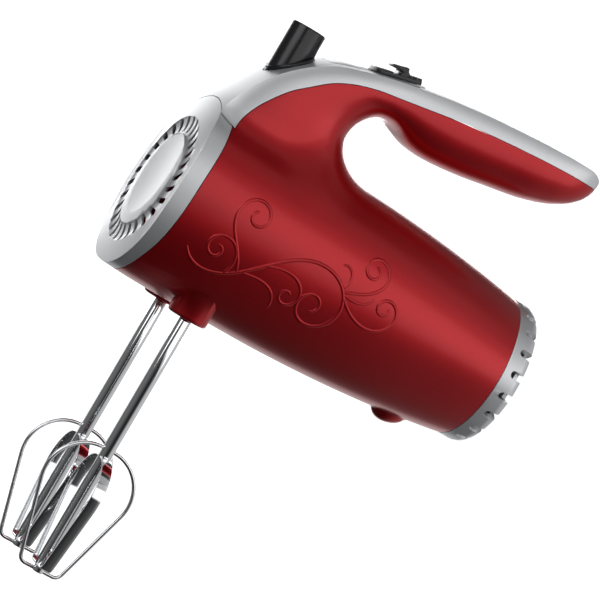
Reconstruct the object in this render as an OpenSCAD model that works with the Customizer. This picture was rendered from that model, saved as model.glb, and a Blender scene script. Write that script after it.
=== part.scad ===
// Hand mixer with two beaters, standing on its heel.
// The modules are drawn in the working pose: x runs from the front face to the heel,
// z points from the beaters to the handle, y is across. stand() then turns the mixer
// up on its heel, with the middle of the heel face at the origin.

/* [Casing] */
// Length from the front face to the heel
body_l = 206; // [195:1:250]
// Height of the barrel at its thickest
barrel_h = 95.2; // [93:0.2:116]
// Room between the worm wheels and the inside of the barrel
gear_room = 1.4; // [0.8:0.1:6]
// Diameter of the barrel where the rear cap joins it
rear_d = 76; // [72:1:92]
// Diameter of the flat heel
heel_d = 69; // [60:1:72]
// Depth of the rear cap
cap_l = 11.6; // [10:0.2:16]
// Wall thickness of the mouldings
wall = 2.4; // [1.8:0.1:3]
// Gap at the seams between the mouldings
seam_gap = 0.2; // [0.1:0.05:0.4]
// Depth of the silver band behind the front face
band_l = 10.5; // [8:0.5:13]
// Radius of the seam between the front grille and the top cover
grille_seam_r = 48.5; // [47:0.5:60]

/* [Handle] */
// How far back the handle reaches from the front face
handle_reach = 200; // [190:1:240]
// Height of the handle's top above the barrel's axis
handle_top = 112; // [108:1:136]
// Width of the grip
grip_w = 44; // [38:1:52]

/* [Vents] */
// Outer radius of the ring of vents in the front face
vent_outer_r = 35.2; // [30:0.2:37]
// Inner radius of the ring of vents
vent_inner_r = 26; // [20:0.2:28]
// Number of slots in the front vents
vent_count = 28; // [16:1:32]
// Width of a slot in the front vents
vent_w = 3; // [2:0.1:4]
// Number of slots around the heel
heel_slots = 20; // [12:1:24]
// Width of a slot at the heel
heel_slot_w = 4; // [3:0.1:5]

/* [Beaters] */
// Distance from the front face to the beater axes
beater_x = 45; // [44:0.5:50]
// Distance between the two beaters
beater_gap = 49; // [48:0.2:60]
// Diameter of a beater shaft
shaft_d = 6.5; // [6:0.1:7.5]
// How far the beater tips hang below the barrel's axis
beater_reach = 190; // [160:1:228]
// Height of a beater's cage of loops
cage_h = 67.5; // [60:0.5:80]
// Diameter of the round wire
wire_d = 1.9; // [1.5:0.1:2.4]
// Room between one beater's loops and the middle plane
beater_room = 0.45; // [0.4:0.05:3]
// Width of the flat loops
blade_w = 5.6; // [4:0.1:7]
// Thickness of the flat loops
blade_t = 1; // [0.8:0.1:1.4]

/* [Controls] */
// Diameter of the eject button
eject_d = 18; // [15:0.5:19]
// Distance from the front face to the eject button
eject_x = 32.5; // [30:0.5:35]
// How far the eject button goes down
eject_travel = 8; // [6:0.5:9]
// Height of the eject button's top above the barrel's axis
eject_top = 99.8; // [98:0.2:124]
// Length of the speed slider
slider_l = 26; // [22:1:30]
// Width of the speed slider
slider_w = 17; // [14:1:20]
// How far the speed slider travels
slider_travel = 14; // [10:1:14]

/* [Drive] */
// Module of the worm and its wheels
gear_module = 1.15; // [1.1:0.01:1.2]
// Teeth on each worm wheel
wheel_teeth = 30; // [29:1:31]
// Starts of the worm
worm_starts = 2; // [2:1:2]
// Thickness of the worm wheels
wheel_t = 9; // [7:0.5:10]
// Outer diameter of the hollow spindles
spindle_d = 10; // [9.6:0.2:11]
// Diameter of the motor shaft at the armature
rotor_shaft_d = 6; // [5.6:0.2:7]
// Diameter of the motor shaft at the worm and in its bushes
journal_d = 5; // [4.6:0.2:5.4]
// Gap all round a shaft in its bush
running_fit = 0.03; // [0.02:0.01:0.06]
// Length of the motor's iron stack
stack_l = 32; // [28:1:38]
// Diameter of the armature
armature_d = 33; // [31:1:35]
// Width across the stator
stator_w = 56; // [54:1:60]
// Diameter of the cooling fan
fan_d = 58; // [50:1:64]
// Diameter of the cord that enters the handle
cord_d = 7; // [6:0.2:8]

/* [Hidden] */
$fn = 48;
eps = 0.02;
far = 400;
ring_sides = 44;
grip_sides = 26;
metal_red = [0.62, 0.05, 0.08];
satin_silver = [0.8, 0.81, 0.83];
steel = [0.62, 0.64, 0.67];
chrome = [0.85, 0.86, 0.88];
bronze = [0.72, 0.52, 0.3];
copper = [0.75, 0.4, 0.2];
black = [0.1, 0.1, 0.11];
nylon = [0.9, 0.89, 0.84];

// ---- Outer form ----
cap_x = body_l - cap_l;
wheel_r = gear_module * wheel_teeth / 2;
beater_y = beater_gap / 2;
tooth_h = 2.1;
tip_h = 0.95;
barrel_w = 2 * (beater_y + wheel_r + tip_h + gear_room + wall);
// Barrel stations: [share of the length to the rear cap, half height, half width, roundness]
barrel_stations = [
    [-0.02, 0.972, 0.855, 2.4], [0.06, 0.99, 0.92, 2.4], [0.155, 1, 0.976, 2.35],
    [0.285, 1, 1, 2.3], [0.465, 0.996, 0.985, 2.25], [0.67, 0.956, 0.95, 2.15],
    [0.825, 0.897, 0.9, 2.08]];

// Stations of the neck and grip, drawn for a reach of 200 and a rise of 112:
// [inner x, inner z, rim x, rim z, half width, depth of the top cover there]
grip_stations = [
    [86, 30, 4.7, 32, 29, 11], [84, 42, 7.2, 41, 27.5, 10], [79, 51, 11, 52, 26, 10],
    [75.5, 58, 16.5, 62, 24.5, 10.5], [74, 64, 22.5, 70.5, 23.5, 11], [75, 70, 29, 77.5, 23, 12],
    [79, 76.5, 38, 85, 22.5, 12], [84, 80, 49, 91.3, 22, 12], [90, 80.3, 62, 95.8, 21.7, 10.5],
    [96, 77.5, 80, 100.5, 21.6, 9], [104, 74.6, 98, 104, 21.8, 8.6], [113, 73.7, 113, 106.4, 22, 8.6],
    [130, 75, 130, 108.5, 22, 8.4], [150, 78.3, 150, 110.3, 21.8, 8.2],
    [170, 82.2, 170, 111.6, 21.2, 8], [183, 86.7, 184, 112, 19.5, 7.8],
    [191.2, 91.5, 192.5, 111.3, 16.5, 7], [196.3, 96.5, 197, 109, 12.8, 4.6],
    [199, 101, 199.3, 106.4, 8, 2]];
reach_scale = handle_reach / 200;
rise_scale = handle_top / 112;
width_scale = grip_w / 44;
// Overshoot of the grip sections past the rim, which the side profile then cuts off
rim_over = 4;

function station_inner(s) = [s[0] * reach_scale, s[1] * rise_scale];
function station_rim(s) = [s[2] * reach_scale, s[3] * rise_scale];
function unit(v) = v / norm(v);
function signed_power(v, e) = sign(v) * pow(abs(v), e);
function oval(a, b, n, count) = [for (i = [0 : count - 1]) let (t = 360 * (i + 0.5) / count)
    [a * signed_power(cos(t), 2 / n), b * signed_power(sin(t), 2 / n)]];
function rim_points() = [for (s = grip_stations) station_rim(s)];
// Height of the cover's top at a distance from the front face
function rim_z(x) = lookup(x, rim_points());
function rim_slope(x) = atan2(rim_z(x + 4) - rim_z(x - 4), 8);
// Points of the seam under the top cover
function cover_seam() = [for (s = grip_stations)
    station_rim(s) + unit(station_inner(s) - station_rim(s)) * s[5]];

// Side outline of the whole casing: the front face, the top of the cover, the tail and below
front_face = [[0.6, -60], [0.3, -35], [0.9, -20], [1.8, 0], [3, 17]];
side_outline = concat(front_face, rim_points(),
    [[handle_reach + 0.3, 104 * rise_scale], [far, 104 * rise_scale], [far, -60]]);

// Edge of the silver band on the side of the barrel
function band_edge() = [
    [band_l - 2.6, -60], [band_l - 4, -44], [band_l - 3, -36], [band_l - 0.8, -24],
    [band_l + 0.8, -9], [band_l + 2.2, 14], [band_l + 4, 30]];

// ---- Drive layout ----
worm_r = beater_y - wheel_r;
worm_lead = PI * gear_module * worm_starts;
worm_l = 22;
wheel_skew = atan2(worm_lead, 2 * PI * worm_r);
frame_top = worm_r + tip_h + 0.8;
frame_bottom = -frame_top - 1;
plate_t = 3;
block_l = 6;
frame_front = beater_x - 25;
frame_rear = beater_x + 27;
bush_wall = 2.5;
bush_l = 8;
spindle_top = frame_top + 8.5;
spindle_bottom = -47;
shaft_top = frame_top + plate_t;
bracket_x = frame_rear + 3;
bracket_t = 2.5;
stack_x = bracket_x + 10;
stack_end = stack_x + stack_l;
rear_plate_x = stack_end + 28;
motor_end = rear_plate_x + 32;
air_gap = 0.6;
commutator_r = 11;
commutator_l = 12;
commutator_x = stack_end + 11;
fan_x = rear_plate_x + 16;
fan_l = 10;
post_at = stator_w / 2 - 6.2;
post_r = 3.6;
pole_half_w = 11;
coil_half_w = post_at - post_r - 0.5;
coil_z = stator_w / 2 - 7.5;

// ---- Controls layout ----
slider_x = 83;
slider_angle = 12.3;
slider_lift = 0.3;
plate_front = 48;
plate_proud = 1.4;
slider_base = [slider_x, rim_z(slider_x) + plate_proud + 0.3];
column_r = 5;
spring_bottom = frame_top + plate_t;
spring_solid = 6;
fork_z = spring_bottom + 2 + eject_travel + spring_solid;
spring_top = fork_z - 2;

module stand() translate([0, 0, body_l]) rotate([0, 90, 0]) children();
module side_slab(points) rotate([90, 0, 0]) linear_extrude(height = far, center = true)
    polygon(points);

// ---- Helpers ----
// A tube or strip swept along points in a plane or in space
function path_dir(p, i) = unit(p[min(i + 1, len(p) - 1)] - p[max(i - 1, 0)]);
module sweep(path, profile, up) {
    sides = len(profile);
    rings = len(path);
    points = [for (i = [0 : rings - 1])
        let (d = path_dir(path, i), s = unit(cross(d, up)), u = cross(s, d))
        for (q = profile) path[i] + s * q[0] + u * q[1]];
    walls = [for (i = [0 : rings - 2], j = [0 : sides - 1])
        let (k = (j + 1) % sides, a = i * sides, b = a + sides)
        for (f = [[a + j, b + j, b + k], [a + j, b + k, a + k]]) f];
    ends = [[for (j = [0 : sides - 1]) j],
        [for (j = [sides - 1 : -1 : 0]) (rings - 1) * sides + j]];
    polyhedron(points, concat(walls, ends), convexity = 6);
}
function round_profile(r, sides) = [for (i = [0 : sides - 1])
    let (t = -360 * (i + 0.5) / sides) [r * cos(t), r * sin(t)]];
module coil(r, wire, z0, z1, turns) {
    steps = 14;
    path = [for (i = [0 : turns * steps]) let (t = 360 * i / steps)
        [r * cos(t), r * sin(t), z0 + wire / 2 + (z1 - z0 - wire) * i / (turns * steps)]];
    sweep(path, round_profile(wire / 2, 6), [0, 0, 1]);
}
module along_x(x) translate([x, 0, 0]) rotate([0, 90, 0]) children();
module each_side() for (side = [-1, 1]) translate([0, side * beater_y, 0]) children();

// ---- Outer form, grown inwards by t ----
module barrel_form(t) hull() {
    for (s = barrel_stations) along_x(s[0] * cap_x)
        linear_extrude(height = eps)
            polygon(oval(barrel_h / 2 * s[1] - t, barrel_w / 2 * s[2] - t, s[3], ring_sides));
    along_x(cap_x + (t > 0 ? 5 : 0)) linear_extrude(height = eps)
        polygon(oval(rear_d / 2 - t, rear_d / 2 - t, 2, ring_sides));
}
module grip_section(s, t) {
    inner = station_inner(s);
    rim = station_rim(s);
    dir = unit(rim - inner);
    a = inner + dir * t;
    b = rim + dir * (rim_over - t);
    mid = (a + b) / 2;
    translate([mid[0], 0, mid[1]]) rotate([0, -atan2(dir[1], dir[0]), 0])
        linear_extrude(height = eps, center = true)
            polygon(oval(norm(b - a) / 2, s[4] * width_scale - t, 2.6, grip_sides));
}
module grip_form(t) {
    last = len(grip_stations) - (t > 0 ? 4 : 2);
    for (i = [0 : last]) hull() {
        grip_section(grip_stations[i], t);
        grip_section(grip_stations[i + 1], t);
    }
}
module casing_form(t) intersection() {
    union() {
        barrel_form(t);
        grip_form(t);
    }
    rotate([90, 0, 0]) linear_extrude(height = far, center = true)
        offset(delta = -t) polygon(side_outline);
}
module casing_shell() difference() {
    casing_form(0);
    casing_form(wall);
}
// Zones that share the shell out between the mouldings
module grille_zone(grow) intersection() {
    side_slab(concat([[-20, -70]], [for (p = band_edge()) p + [grow, 0]],
        [[band_l + 7 + grow, 60], [-20, 60]]));
    along_x(-30) cylinder(r = grille_seam_r + grow, h = 80, $fn = 64);
}
module cover_zone(grow) difference() {
    side_slab(concat([[-30, 0], [band_l + 0.5 + grow, 0]],
        [for (p = cover_seam()) p + [grow * 0.7, -grow * 0.7]],
        [[handle_reach + 10, 104 * rise_scale - grow], [handle_reach + 10, 200], [-30, 200]]));
    along_x(-60) cylinder(r = grille_seam_r + seam_gap - grow, h = 100, $fn = 64);
}

// ---- Casing ----
module housing_boss() translate([beater_x, 0, -50]) cylinder(d = 20.6, h = 16);
module main_housing() stand() color(metal_red) {
    difference() {
        union() {
            difference() {
                casing_shell();
                grille_zone(seam_gap);
                cover_zone(seam_gap);
                along_x(cap_x - seam_gap) cylinder(r = 90, h = 60);
                // Seat of the rear cap's spigot
                along_x(cap_x - spigot_l - 1) cylinder(r = rear_d / 2 - wall, h = 20);
            }
            each_side() housing_boss();
            heel_side_foot();
            for (side = [-1, 1], x = [beater_x - 14, beater_x + 16]) frame_post(x, side * 9);
        }
        each_side() translate([beater_x, 0, -60]) cylinder(d = spindle_d + 1.6, h = 40);
        translate([cord_point[0], 0, cord_point[1]]) rotate([0, cord_tilt, 0])
            translate([0, 0, -22]) cylinder(d = gland_d + 2 * seam_gap, h = 40);
    }
}
foot_x = 0.855 * cap_x;
module heel_side_foot() translate([foot_x, 0, -46.6 * barrel_h / 95.2])
    cylinder(r1 = 4.8, r2 = 7.5, h = 9);
module frame_post(x, y) translate([x, y, 1.5 - barrel_h / 2])
    difference() {
        cylinder(r = 4, h = barrel_h / 2 - 1.5 + frame_bottom - plate_t);
        translate([0, 0, barrel_h / 2 - 12.5 + frame_bottom - plate_t])
            cylinder(d = 3, h = 20, $fn = 24);
    }
cord_point = [193.9 * reach_scale, 94.1 * rise_scale];
cord_tilt = 135;
gland_l = 7.5;
gland_d = cord_d + 3.4;

module handle_cover() stand() color(satin_silver) difference() {
    intersection() {
        casing_shell();
        cover_zone(0);
    }
    along_z(eject_x, 40) cylinder(d = eject_d + 1.2, h = 100);
    bezel_disc(seam_gap, 0);
    plate_form(seam_gap);
    slider_slot(0);
}
module along_z(x, z) translate([x, 0, z]) children();

module front_grille() stand() color(satin_silver) difference() {
    intersection() {
        casing_shell();
        grille_zone(0);
    }
    vent_slots();
    // Shallow groove that the slots sit in
    translate([face_mid, 0, 0]) rotate([0, 90 + face_lean, 0]) rotate_extrude($fn = 44)
        polygon([[vent_inner_r, -5], [vent_inner_r + 0.4, 0], [vent_inner_r + 2, 1.1],
            [vent_outer_r - 2, 1.1], [vent_outer_r - 0.4, 0], [vent_outer_r, -5]]);
}
face_mid = 2.1;
face_lean = 4.2;
vent_mid_r = (vent_inner_r + vent_outer_r) / 2;
module vent_slots() for (i = [0 : vent_count - 1]) rotate([i * 360 / vent_count, 0, 0])
    translate([-4, 0, vent_mid_r]) rotate([24, 0, 0]) rotate([0, 90, 0]) hull() {
        reach = (vent_outer_r - vent_inner_r - vent_w) / 2 - 0.6;
        translate([reach, 0, 0]) cylinder(d = vent_w, h = 14, $fn = 8);
        translate([-reach, 0, 0]) cylinder(d = vent_w - 0.4, h = 14, $fn = 8);
    }

heel_round = (rear_d - heel_d) / 2;
heel_round_l = min(1.3 * heel_round, cap_l - 4);
spigot_l = 5;
module rear_cap() stand() color(satin_silver) difference() {
    along_x(cap_x) rotate_extrude($fn = 96) polygon(concat(
        [[rear_d / 2 - wall - seam_gap - 1.8, -spigot_l], [rear_d / 2 - wall - seam_gap, -spigot_l],
         [rear_d / 2 - wall - seam_gap, 0], [rear_d / 2, 0]],
        [for (a = [0 : 15 : 90]) [heel_d / 2 + heel_round * cos(a),
            cap_l - heel_round_l + heel_round_l * sin(a)]],
        [[0, cap_l], [0, cap_l - wall], [rear_d / 2 - wall - seam_gap - 2.6, cap_l - wall],
         [rear_d / 2 - wall - seam_gap - 1.8, cap_l - wall - 2]]));
    for (i = [0 : heel_slots - 1]) rotate([(i + 0.5) * 360 / heel_slots, 0, 0]) {
        translate([cap_x + cap_l / 2, -heel_slot_w / 2, heel_d / 2 - 4.5])
            cube([20, heel_slot_w, heel_round + 8]);
        translate([cap_x + cap_l / 2, 0, heel_d / 2 - 4.5])
            cylinder(d = heel_slot_w, h = heel_round + 8, $fn = 24);
    }
}

// ---- Controls ----
module bezel_disc(grow, lift) translate([eject_x, 0, rim_z(eject_x) + 0.3])
    rotate([0, -rim_slope(eject_x), 0]) translate([0, 0, lift - 0.6])
        cylinder(r = eject_d / 2 + 3.2 + grow, h = 2.4 + grow + lift, $fn = 64);
module eject_bezel() stand() color(black) difference() {
    bezel_disc(0, 0);
    along_z(eject_x, 40) cylinder(d = eject_d + 0.6, h = 100, $fn = 64);
}
module eject_button() stand() color(black) difference() {
    along_z(eject_x, eject_top - 46) {
        cylinder(d = eject_d, h = 45.2, $fn = 64);
        translate([0, 0, 45.2 - eps]) cylinder(d1 = eject_d, d2 = eject_d - 1.6, h = 0.8 + eps, $fn = 64);
    }
    along_z(eject_x, eject_top - 47) cylinder(r = column_r + 0.05, h = 15);
}
module ejector_fork() stand() color(nylon) {
    along_z(eject_x, fork_z - 2) cylinder(r = column_r, h = eject_top - 33 - fork_z + 2);
    for (side = [-1, 1]) translate([beater_x, side * beater_y, 0]) {
        translate([0, 0, shaft_top + 0.3]) cylinder(d = shaft_d - 0.8, h = fork_z - shaft_top);
        translate([0, 0, fork_z - 2]) cylinder(r = 4.5, h = 4);
    }
    translate([eject_x - 5, -6, fork_z - 2]) cube([beater_x - eject_x + 8, 12, 4]);
    translate([beater_x - 3, -beater_y, fork_z - 2]) cube([6, beater_gap, 4]);
}
module eject_spring() stand() color(steel) along_z(eject_x, 0)
    coil(6.4, 0.9, spring_bottom + 0.1, spring_top - 0.1, 5);

// Frame of the slider: its origin is on the plate's top, x runs back along the slide
module slide_frame() translate([slider_base[0], 0, slider_base[1]])
    rotate([0, -slider_angle, 0]) children();
module plate_form(grow) hull() {
    slide_frame() translate([-slider_l / 2 - slider_travel + 1, 0, -2 - grow])
        linear_extrude(height = 2) square([eps, slider_w + 3 + 2 * grow], center = true);
    slide_frame() translate([slider_l / 2 + 2 + grow, 0, -2 - grow])
        linear_extrude(height = 2) square([eps, slider_w + 3 + 2 * grow], center = true);
    translate([plate_front - grow, 0, rim_z(plate_front) - 1 - grow])
        linear_extrude(height = 1.9) square([eps, slider_w + 1 + 2 * grow], center = true);
}
module slider_slot(grow) slide_frame()
    translate([-slider_travel - 5 - grow, -3 - grow, -14])
        cube([slider_travel + 10 + 2 * grow, 6 + 2 * grow, 20]);
module switch_plate() stand() color(satin_silver) difference() {
    plate_form(0);
    slider_slot(0);
}
module speed_slider() stand() color(black) slide_frame() {
    // Ridged base
    translate([-slider_l / 2, -slider_w / 2, slider_lift]) cube([slider_l, slider_w, 1.4]);
    for (i = [0 : 3]) translate([-slider_l / 2 + 1.5 + 2.6 * i, -slider_w / 2, slider_lift])
        cube([1.5, slider_w, 2]);
    for (i = [0 : 2]) translate([slider_l / 2 - 2.4 - 2.8 * i, -slider_w / 2, slider_lift])
        cube([1.6, slider_w, 2.3]);
    // Thumb lever with its overhanging top
    rotate([90, 0, 0]) linear_extrude(height = slider_w - 3, center = true)
        polygon([[1, 1], [1.6, 2.9], [1.2, 4.2], [-5, 3.9], [-5.4, 5.4], [3.4, 6.2], [4.4, 4.4],
            [8, 2.4], [9, 1]]);
    // Tongue through the slot
    translate([-3, -2.6, -7]) cube([6, 5.2, 7.5]);
}
module slider_contact() stand() color(bronze) slide_frame()
    translate([-6, -5.5, -8.2]) cube([12, 11, 1]);
module switch_block() stand() color(black) slide_frame() difference() {
    translate([-24, -9, -16.5]) cube([36, 18, 7]);
    translate([-21, -6.5, -12]) cube([30, 13, 10]);
}
module detent_spring() stand() color(steel) slide_frame() rotate([90, 0, 0])
    linear_extrude(height = 5, center = true)
        polygon([[-20, -11.9], [8, -11.9], [8, -11.4], [-4.5, -11.4], [-6, -9.6], [-7.5, -11.4],
            [-20, -11.4]]);

// ---- Gear frame ----
module frame_plan(r) {
    for (side = [-1, 1]) translate([beater_x, side * beater_y]) circle(r = r);
    translate([beater_x - 9, -beater_y]) square([18, beater_gap]);
    translate([frame_front, -16]) square([frame_rear - frame_front, 32]);
}
module frame_pillars() for (x = [frame_front + 3.5, frame_rear - 4], side = [-1, 1])
    translate([x, side * 12.4, 0]) children();
module frame_feet() for (x = [beater_x - 14, beater_x + 16], side = [-1, 1])
    translate([x, side * 9, 0]) children();
module gear_frame() stand() color(nylon) difference() {
    union() {
        translate([0, 0, frame_bottom - plate_t]) linear_extrude(height = plate_t) frame_plan(11);
        each_side() translate([beater_x, 0, frame_bottom - 14])
            cylinder(d = spindle_d + 2 * bush_wall + 3, h = 14);
        translate([frame_front, -8.5, frame_bottom]) cube([block_l, 17, frame_top - frame_bottom]);
        translate([frame_rear - 8, -16, frame_bottom]) cube([8, 32, frame_top - frame_bottom]);
        frame_pillars() translate([0, 0, frame_bottom]) cylinder(r = 3.5, h = frame_top - frame_bottom);
    }
    each_side() translate([beater_x, 0, frame_bottom - 15])
        cylinder(d = spindle_d + 2 * bush_wall, h = 20);
    along_x(frame_front - 1) cylinder(d = journal_d + 2 * bush_wall, h = block_l + 2);
    along_x(frame_rear - 9) cylinder(r = 8.6, h = 10);
    frame_pillars() translate([0, 0, frame_top - 9]) cylinder(d = 2.6, h = 10, $fn = 24);
    frame_feet() translate([0, 0, frame_bottom - 5]) cylinder(d = 3.3, h = 8, $fn = 24);
}
module gear_frame_cover() stand() color(nylon) difference() {
    union() {
        translate([0, 0, frame_top]) linear_extrude(height = plate_t) frame_plan(11);
        each_side() translate([beater_x, 0, frame_top]) cylinder(d = spindle_d + 2 * bush_wall + 3, h = 8);
    }
    each_side() translate([beater_x, 0, frame_top - 1]) cylinder(d = spindle_d + 2 * bush_wall, h = 12);
    frame_pillars() translate([0, 0, frame_top - 1]) cylinder(d = 3.2, h = 6, $fn = 24);
}
module bush(bore_d, length) difference() {
    cylinder(d = bore_d + 2 * bush_wall - 2 * running_fit, h = length);
    translate([0, 0, -1]) cylinder(d = bore_d + 2 * running_fit, h = length + 2);
}
module front_bush() stand() color(bronze) along_x(frame_front) bush(journal_d, block_l);
module middle_bush() stand() color(bronze) along_x(bracket_x - 6) bush(journal_d, bush_l);
module rear_bush() stand() color(bronze) along_x(rear_plate_x - 3) bush(journal_d, bush_l);
module spindle_bushes() stand() color(bronze) each_side() translate([beater_x, 0, 0]) {
    translate([0, 0, frame_bottom - 14]) bush(spindle_d, 13.6);
    translate([0, 0, frame_top + 0.4]) bush(spindle_d, 7.6);
}
module small_screw(d, length, head_d, head_h) {
    cylinder(d = head_d, h = head_h, $fn = 24);
    translate([0, 0, -length]) cylinder(d = d, h = length + eps, $fn = 24);
}
module gear_frame_screws() stand() color(steel) frame_feet()
    translate([0, 0, frame_bottom]) small_screw(2.9, 11, 5.4, 1.8);
module frame_cover_screws() stand() color(steel) frame_pillars()
    translate([0, 0, frame_top + plate_t]) small_screw(2.5, 10, 4.8, 1.6);

// ---- Motor ----
module motor_posts() for (sy = [-1, 1], sz = [-1, 1]) translate([0, sy * post_at, sz * post_at]) children();
module bracket_plate(x, t) difference() {
    along_x(x) intersection() {
        cylinder(r = stator_w / 2 + 5, h = t);
        translate([-stator_w / 2, -stator_w / 2, 0]) cube([stator_w, stator_w, t]);
    }
    for (a = [0, 90, 180, 270]) rotate([a, 0, 0]) translate([x - 1, -9, 13]) cube([t + 2, 18, 11]);
}
module front_motor_bracket() stand() color(steel) difference() {
    union() {
        bracket_plate(bracket_x, bracket_t);
        along_x(bracket_x - 6) cylinder(r = 8, h = 6 + bracket_t);
        motor_posts() along_x(bracket_x) cylinder(r = post_r, h = stack_x - bracket_x);
    }
    along_x(bracket_x - 7) cylinder(d = journal_d + 2 * bush_wall, h = 20);
    motor_posts() along_x(bracket_x - 1) cylinder(d = 4.4, h = 20);
}
module rear_motor_bracket() stand() color(steel) difference() {
    union() {
        bracket_plate(rear_plate_x, bracket_t);
        along_x(rear_plate_x - 3) cylinder(r = 8, h = bush_l);
        motor_posts() along_x(stack_end) cylinder(r = post_r, h = rear_plate_x - stack_end + eps);
        for (side = [-1, 1]) translate([commutator_x, side * 22 - 6, -9.5])
            cube([rear_plate_x - commutator_x + eps, 12, 3]);
    }
    along_x(rear_plate_x - 4) cylinder(d = journal_d + 2 * bush_wall, h = 20);
    motor_posts() along_x(stack_end - 1) cylinder(d = 4.4, h = 60);
}
module pole_plan(r, pocket) difference() {
    intersection() {
        circle(r = stator_w / 2 + 6, $fn = 96);
        square([stator_w, stator_w], center = true);
    }
    circle(r = r, $fn = 96);
    for (sa = [-1, 1], sb = [-1, 1]) translate([sa * coil_z - 4.5, sb > 0 ? pole_half_w : -coil_half_w - 0.3])
        square([9, coil_half_w + 0.3 - pole_half_w]);
    for (sa = [-1, 1], sb = [-1, 1]) translate([sa * post_at, sb * post_at]) circle(d = 4.6);
}
module stator_core() stand() color(steel) along_x(stack_x) linear_extrude(height = stack_l)
    pole_plan(armature_d / 2 + air_gap);
module field_coils() stand() color(copper) for (side = [-1, 1])
    translate([0, 0, side * coil_z]) difference() {
        translate([stack_x - 6, -coil_half_w, -4]) cube([stack_l + 12, 2 * coil_half_w, 8]);
        translate([stack_x - 0.5, -pole_half_w - 0.3, -5]) cube([stack_l + 1, 2 * pole_half_w + 0.6, 10]);
    }
module armature_core() stand() color(steel) along_x(stack_x) linear_extrude(height = stack_l) difference() {
    circle(d = armature_d, $fn = 96);
    circle(d = rotor_shaft_d);
    for (i = [0 : 11]) rotate(i * 30) translate([armature_d / 2 - 6, -1.6]) square([5, 3.2]);
}
module armature_windings() stand() color(copper) {
    for (x = [stack_x - 7.2, stack_end]) along_x(x) difference() {
        cylinder(d = armature_d - 4.5, h = 7.2);
        translate([0, 0, -1]) cylinder(d = rotor_shaft_d, h = 10);
    }
    for (i = [0 : 11]) rotate([i * 30 + 90, 0, 0])
        translate([stack_x - eps, -1.5, armature_d / 2 - 5.9]) cube([stack_l + 2 * eps, 3, 3.6]);
}
module commutator() stand() color(copper) along_x(commutator_x) difference() {
    cylinder(r = commutator_r, h = commutator_l, $fn = 96);
    translate([0, 0, -1]) cylinder(d = rotor_shaft_d, h = commutator_l + 2);
    for (i = [0 : 23]) rotate(i * 15) translate([commutator_r - 1, -0.25, -1])
        cube([2, 0.5, commutator_l + 2]);
}
brush_in = commutator_r + 0.1;
module carbon_brushes() stand() color(black) for (a = [0, 180]) rotate([a, 0, 0])
    translate([commutator_x + 3, brush_in, -3.5]) cube([6, 11, 7]);
module brush_holders() stand() color(bronze) for (a = [0, 180]) rotate([a, 0, 0]) difference() {
    translate([commutator_x + 1.9, brush_in + 2, -4.6 - (a > 0 ? 0 : 1.8)])
        cube([8.2, 16, 9.2 + 1.8]);
    translate([commutator_x + 2.9, brush_in + 1, -3.6]) cube([6.2, 15.8, 7.2]);
}
module brush_springs() stand() color(steel) for (a = [0, 180]) rotate([a, 0, 0])
    translate([commutator_x + 6, 0, 0]) rotate([-90, 0, 0])
        coil(2.4, 0.5, brush_in + 11.1, brush_in + 16.7, 4);
module motor_shaft() stand() color(steel) {
    along_x(frame_front - 2) cylinder(d = journal_d, h = bracket_x + 3 - frame_front + 2);
    along_x(bracket_x + 3 - eps) cylinder(d = rotor_shaft_d, h = rear_plate_x - bracket_x - 7 + eps);
    along_x(rear_plate_x - 4 - eps) cylinder(d = journal_d, h = motor_end - rear_plate_x + 4);
}
module motor_screws() stand() color(steel) motor_posts() {
    along_x(rear_plate_x + bracket_t) cylinder(d = 7, h = 2.6, $fn = 24);
    along_x(bracket_x - 3) cylinder(d = 4, h = rear_plate_x + bracket_t - bracket_x + 3 + eps, $fn = 24);
}
module cooling_fan() stand() color(nylon) along_x(fan_x) difference() {
    union() {
        cylinder(d = 14, h = fan_l);
        cylinder(d = fan_d, h = 1.6, $fn = 72);
        for (i = [0 : 10]) rotate(i * 360 / 11) translate([6, -0.7, 1])
            cube([fan_d / 2 - 6.6, 1.4, fan_l - 1]);
    }
    translate([0, 0, -1]) cylinder(d = journal_d, h = fan_l + 2);
}

// ---- Worm drive ----
// Outline of the worm across its axis, for each start: [share of its turn, height]
thread_corners = [[-0.2, tip_h - tooth_h], [-0.1, tip_h], [0, tip_h], [0.1, tip_h], [0.2, tip_h - tooth_h],
    [0.35, tip_h - tooth_h], [0.5, tip_h - tooth_h], [0.65, tip_h - tooth_h]];
module worm() stand() color(steel) difference() {
    along_x(beater_x - worm_l / 2) rotate(90 - 180 * worm_l / worm_lead)
        linear_extrude(height = worm_l, twist = -360 * worm_l / worm_lead, slices = 34, convexity = 8)
            polygon([for (i = [0 : worm_starts - 1], u = thread_corners)
                let (t = (i + u[0]) * 360 / worm_starts) (worm_r + u[1]) * [cos(t), sin(t)]]);
    along_x(beater_x - worm_l / 2 - 1) cylinder(d = journal_d, h = worm_l + 2);
}
module wheel_tooth() {
    root = wheel_r - tooth_h + tip_h;
    tip = wheel_r + tip_h;
    a0 = 90 / wheel_teeth;
    polygon([[root - 1, -sin(a0 * 0.86) * root], [root, -sin(a0 * 0.86) * root], [tip, -sin(a0 * 0.4) * tip],
        [tip, sin(a0 * 0.4) * tip], [root, sin(a0 * 0.86) * root], [root - 1, sin(a0 * 0.86) * root]]);
}
module worm_wheel(turn) difference() {
    sweep_angle = wheel_t * tan(wheel_skew) / wheel_r * 180 / PI;
    translate([0, 0, -wheel_t / 2]) rotate(-sweep_angle / 2)
        linear_extrude(height = wheel_t, twist = -sweep_angle, slices = 3) {
            circle(r = wheel_r - tooth_h + tip_h, $fn = 60);
            for (i = [0 : wheel_teeth - 1]) rotate(i * 360 / wheel_teeth + turn) wheel_tooth();
        }
    translate([0, 0, -wheel_t]) cylinder(d = spindle_d, h = 2 * wheel_t);
}
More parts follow.
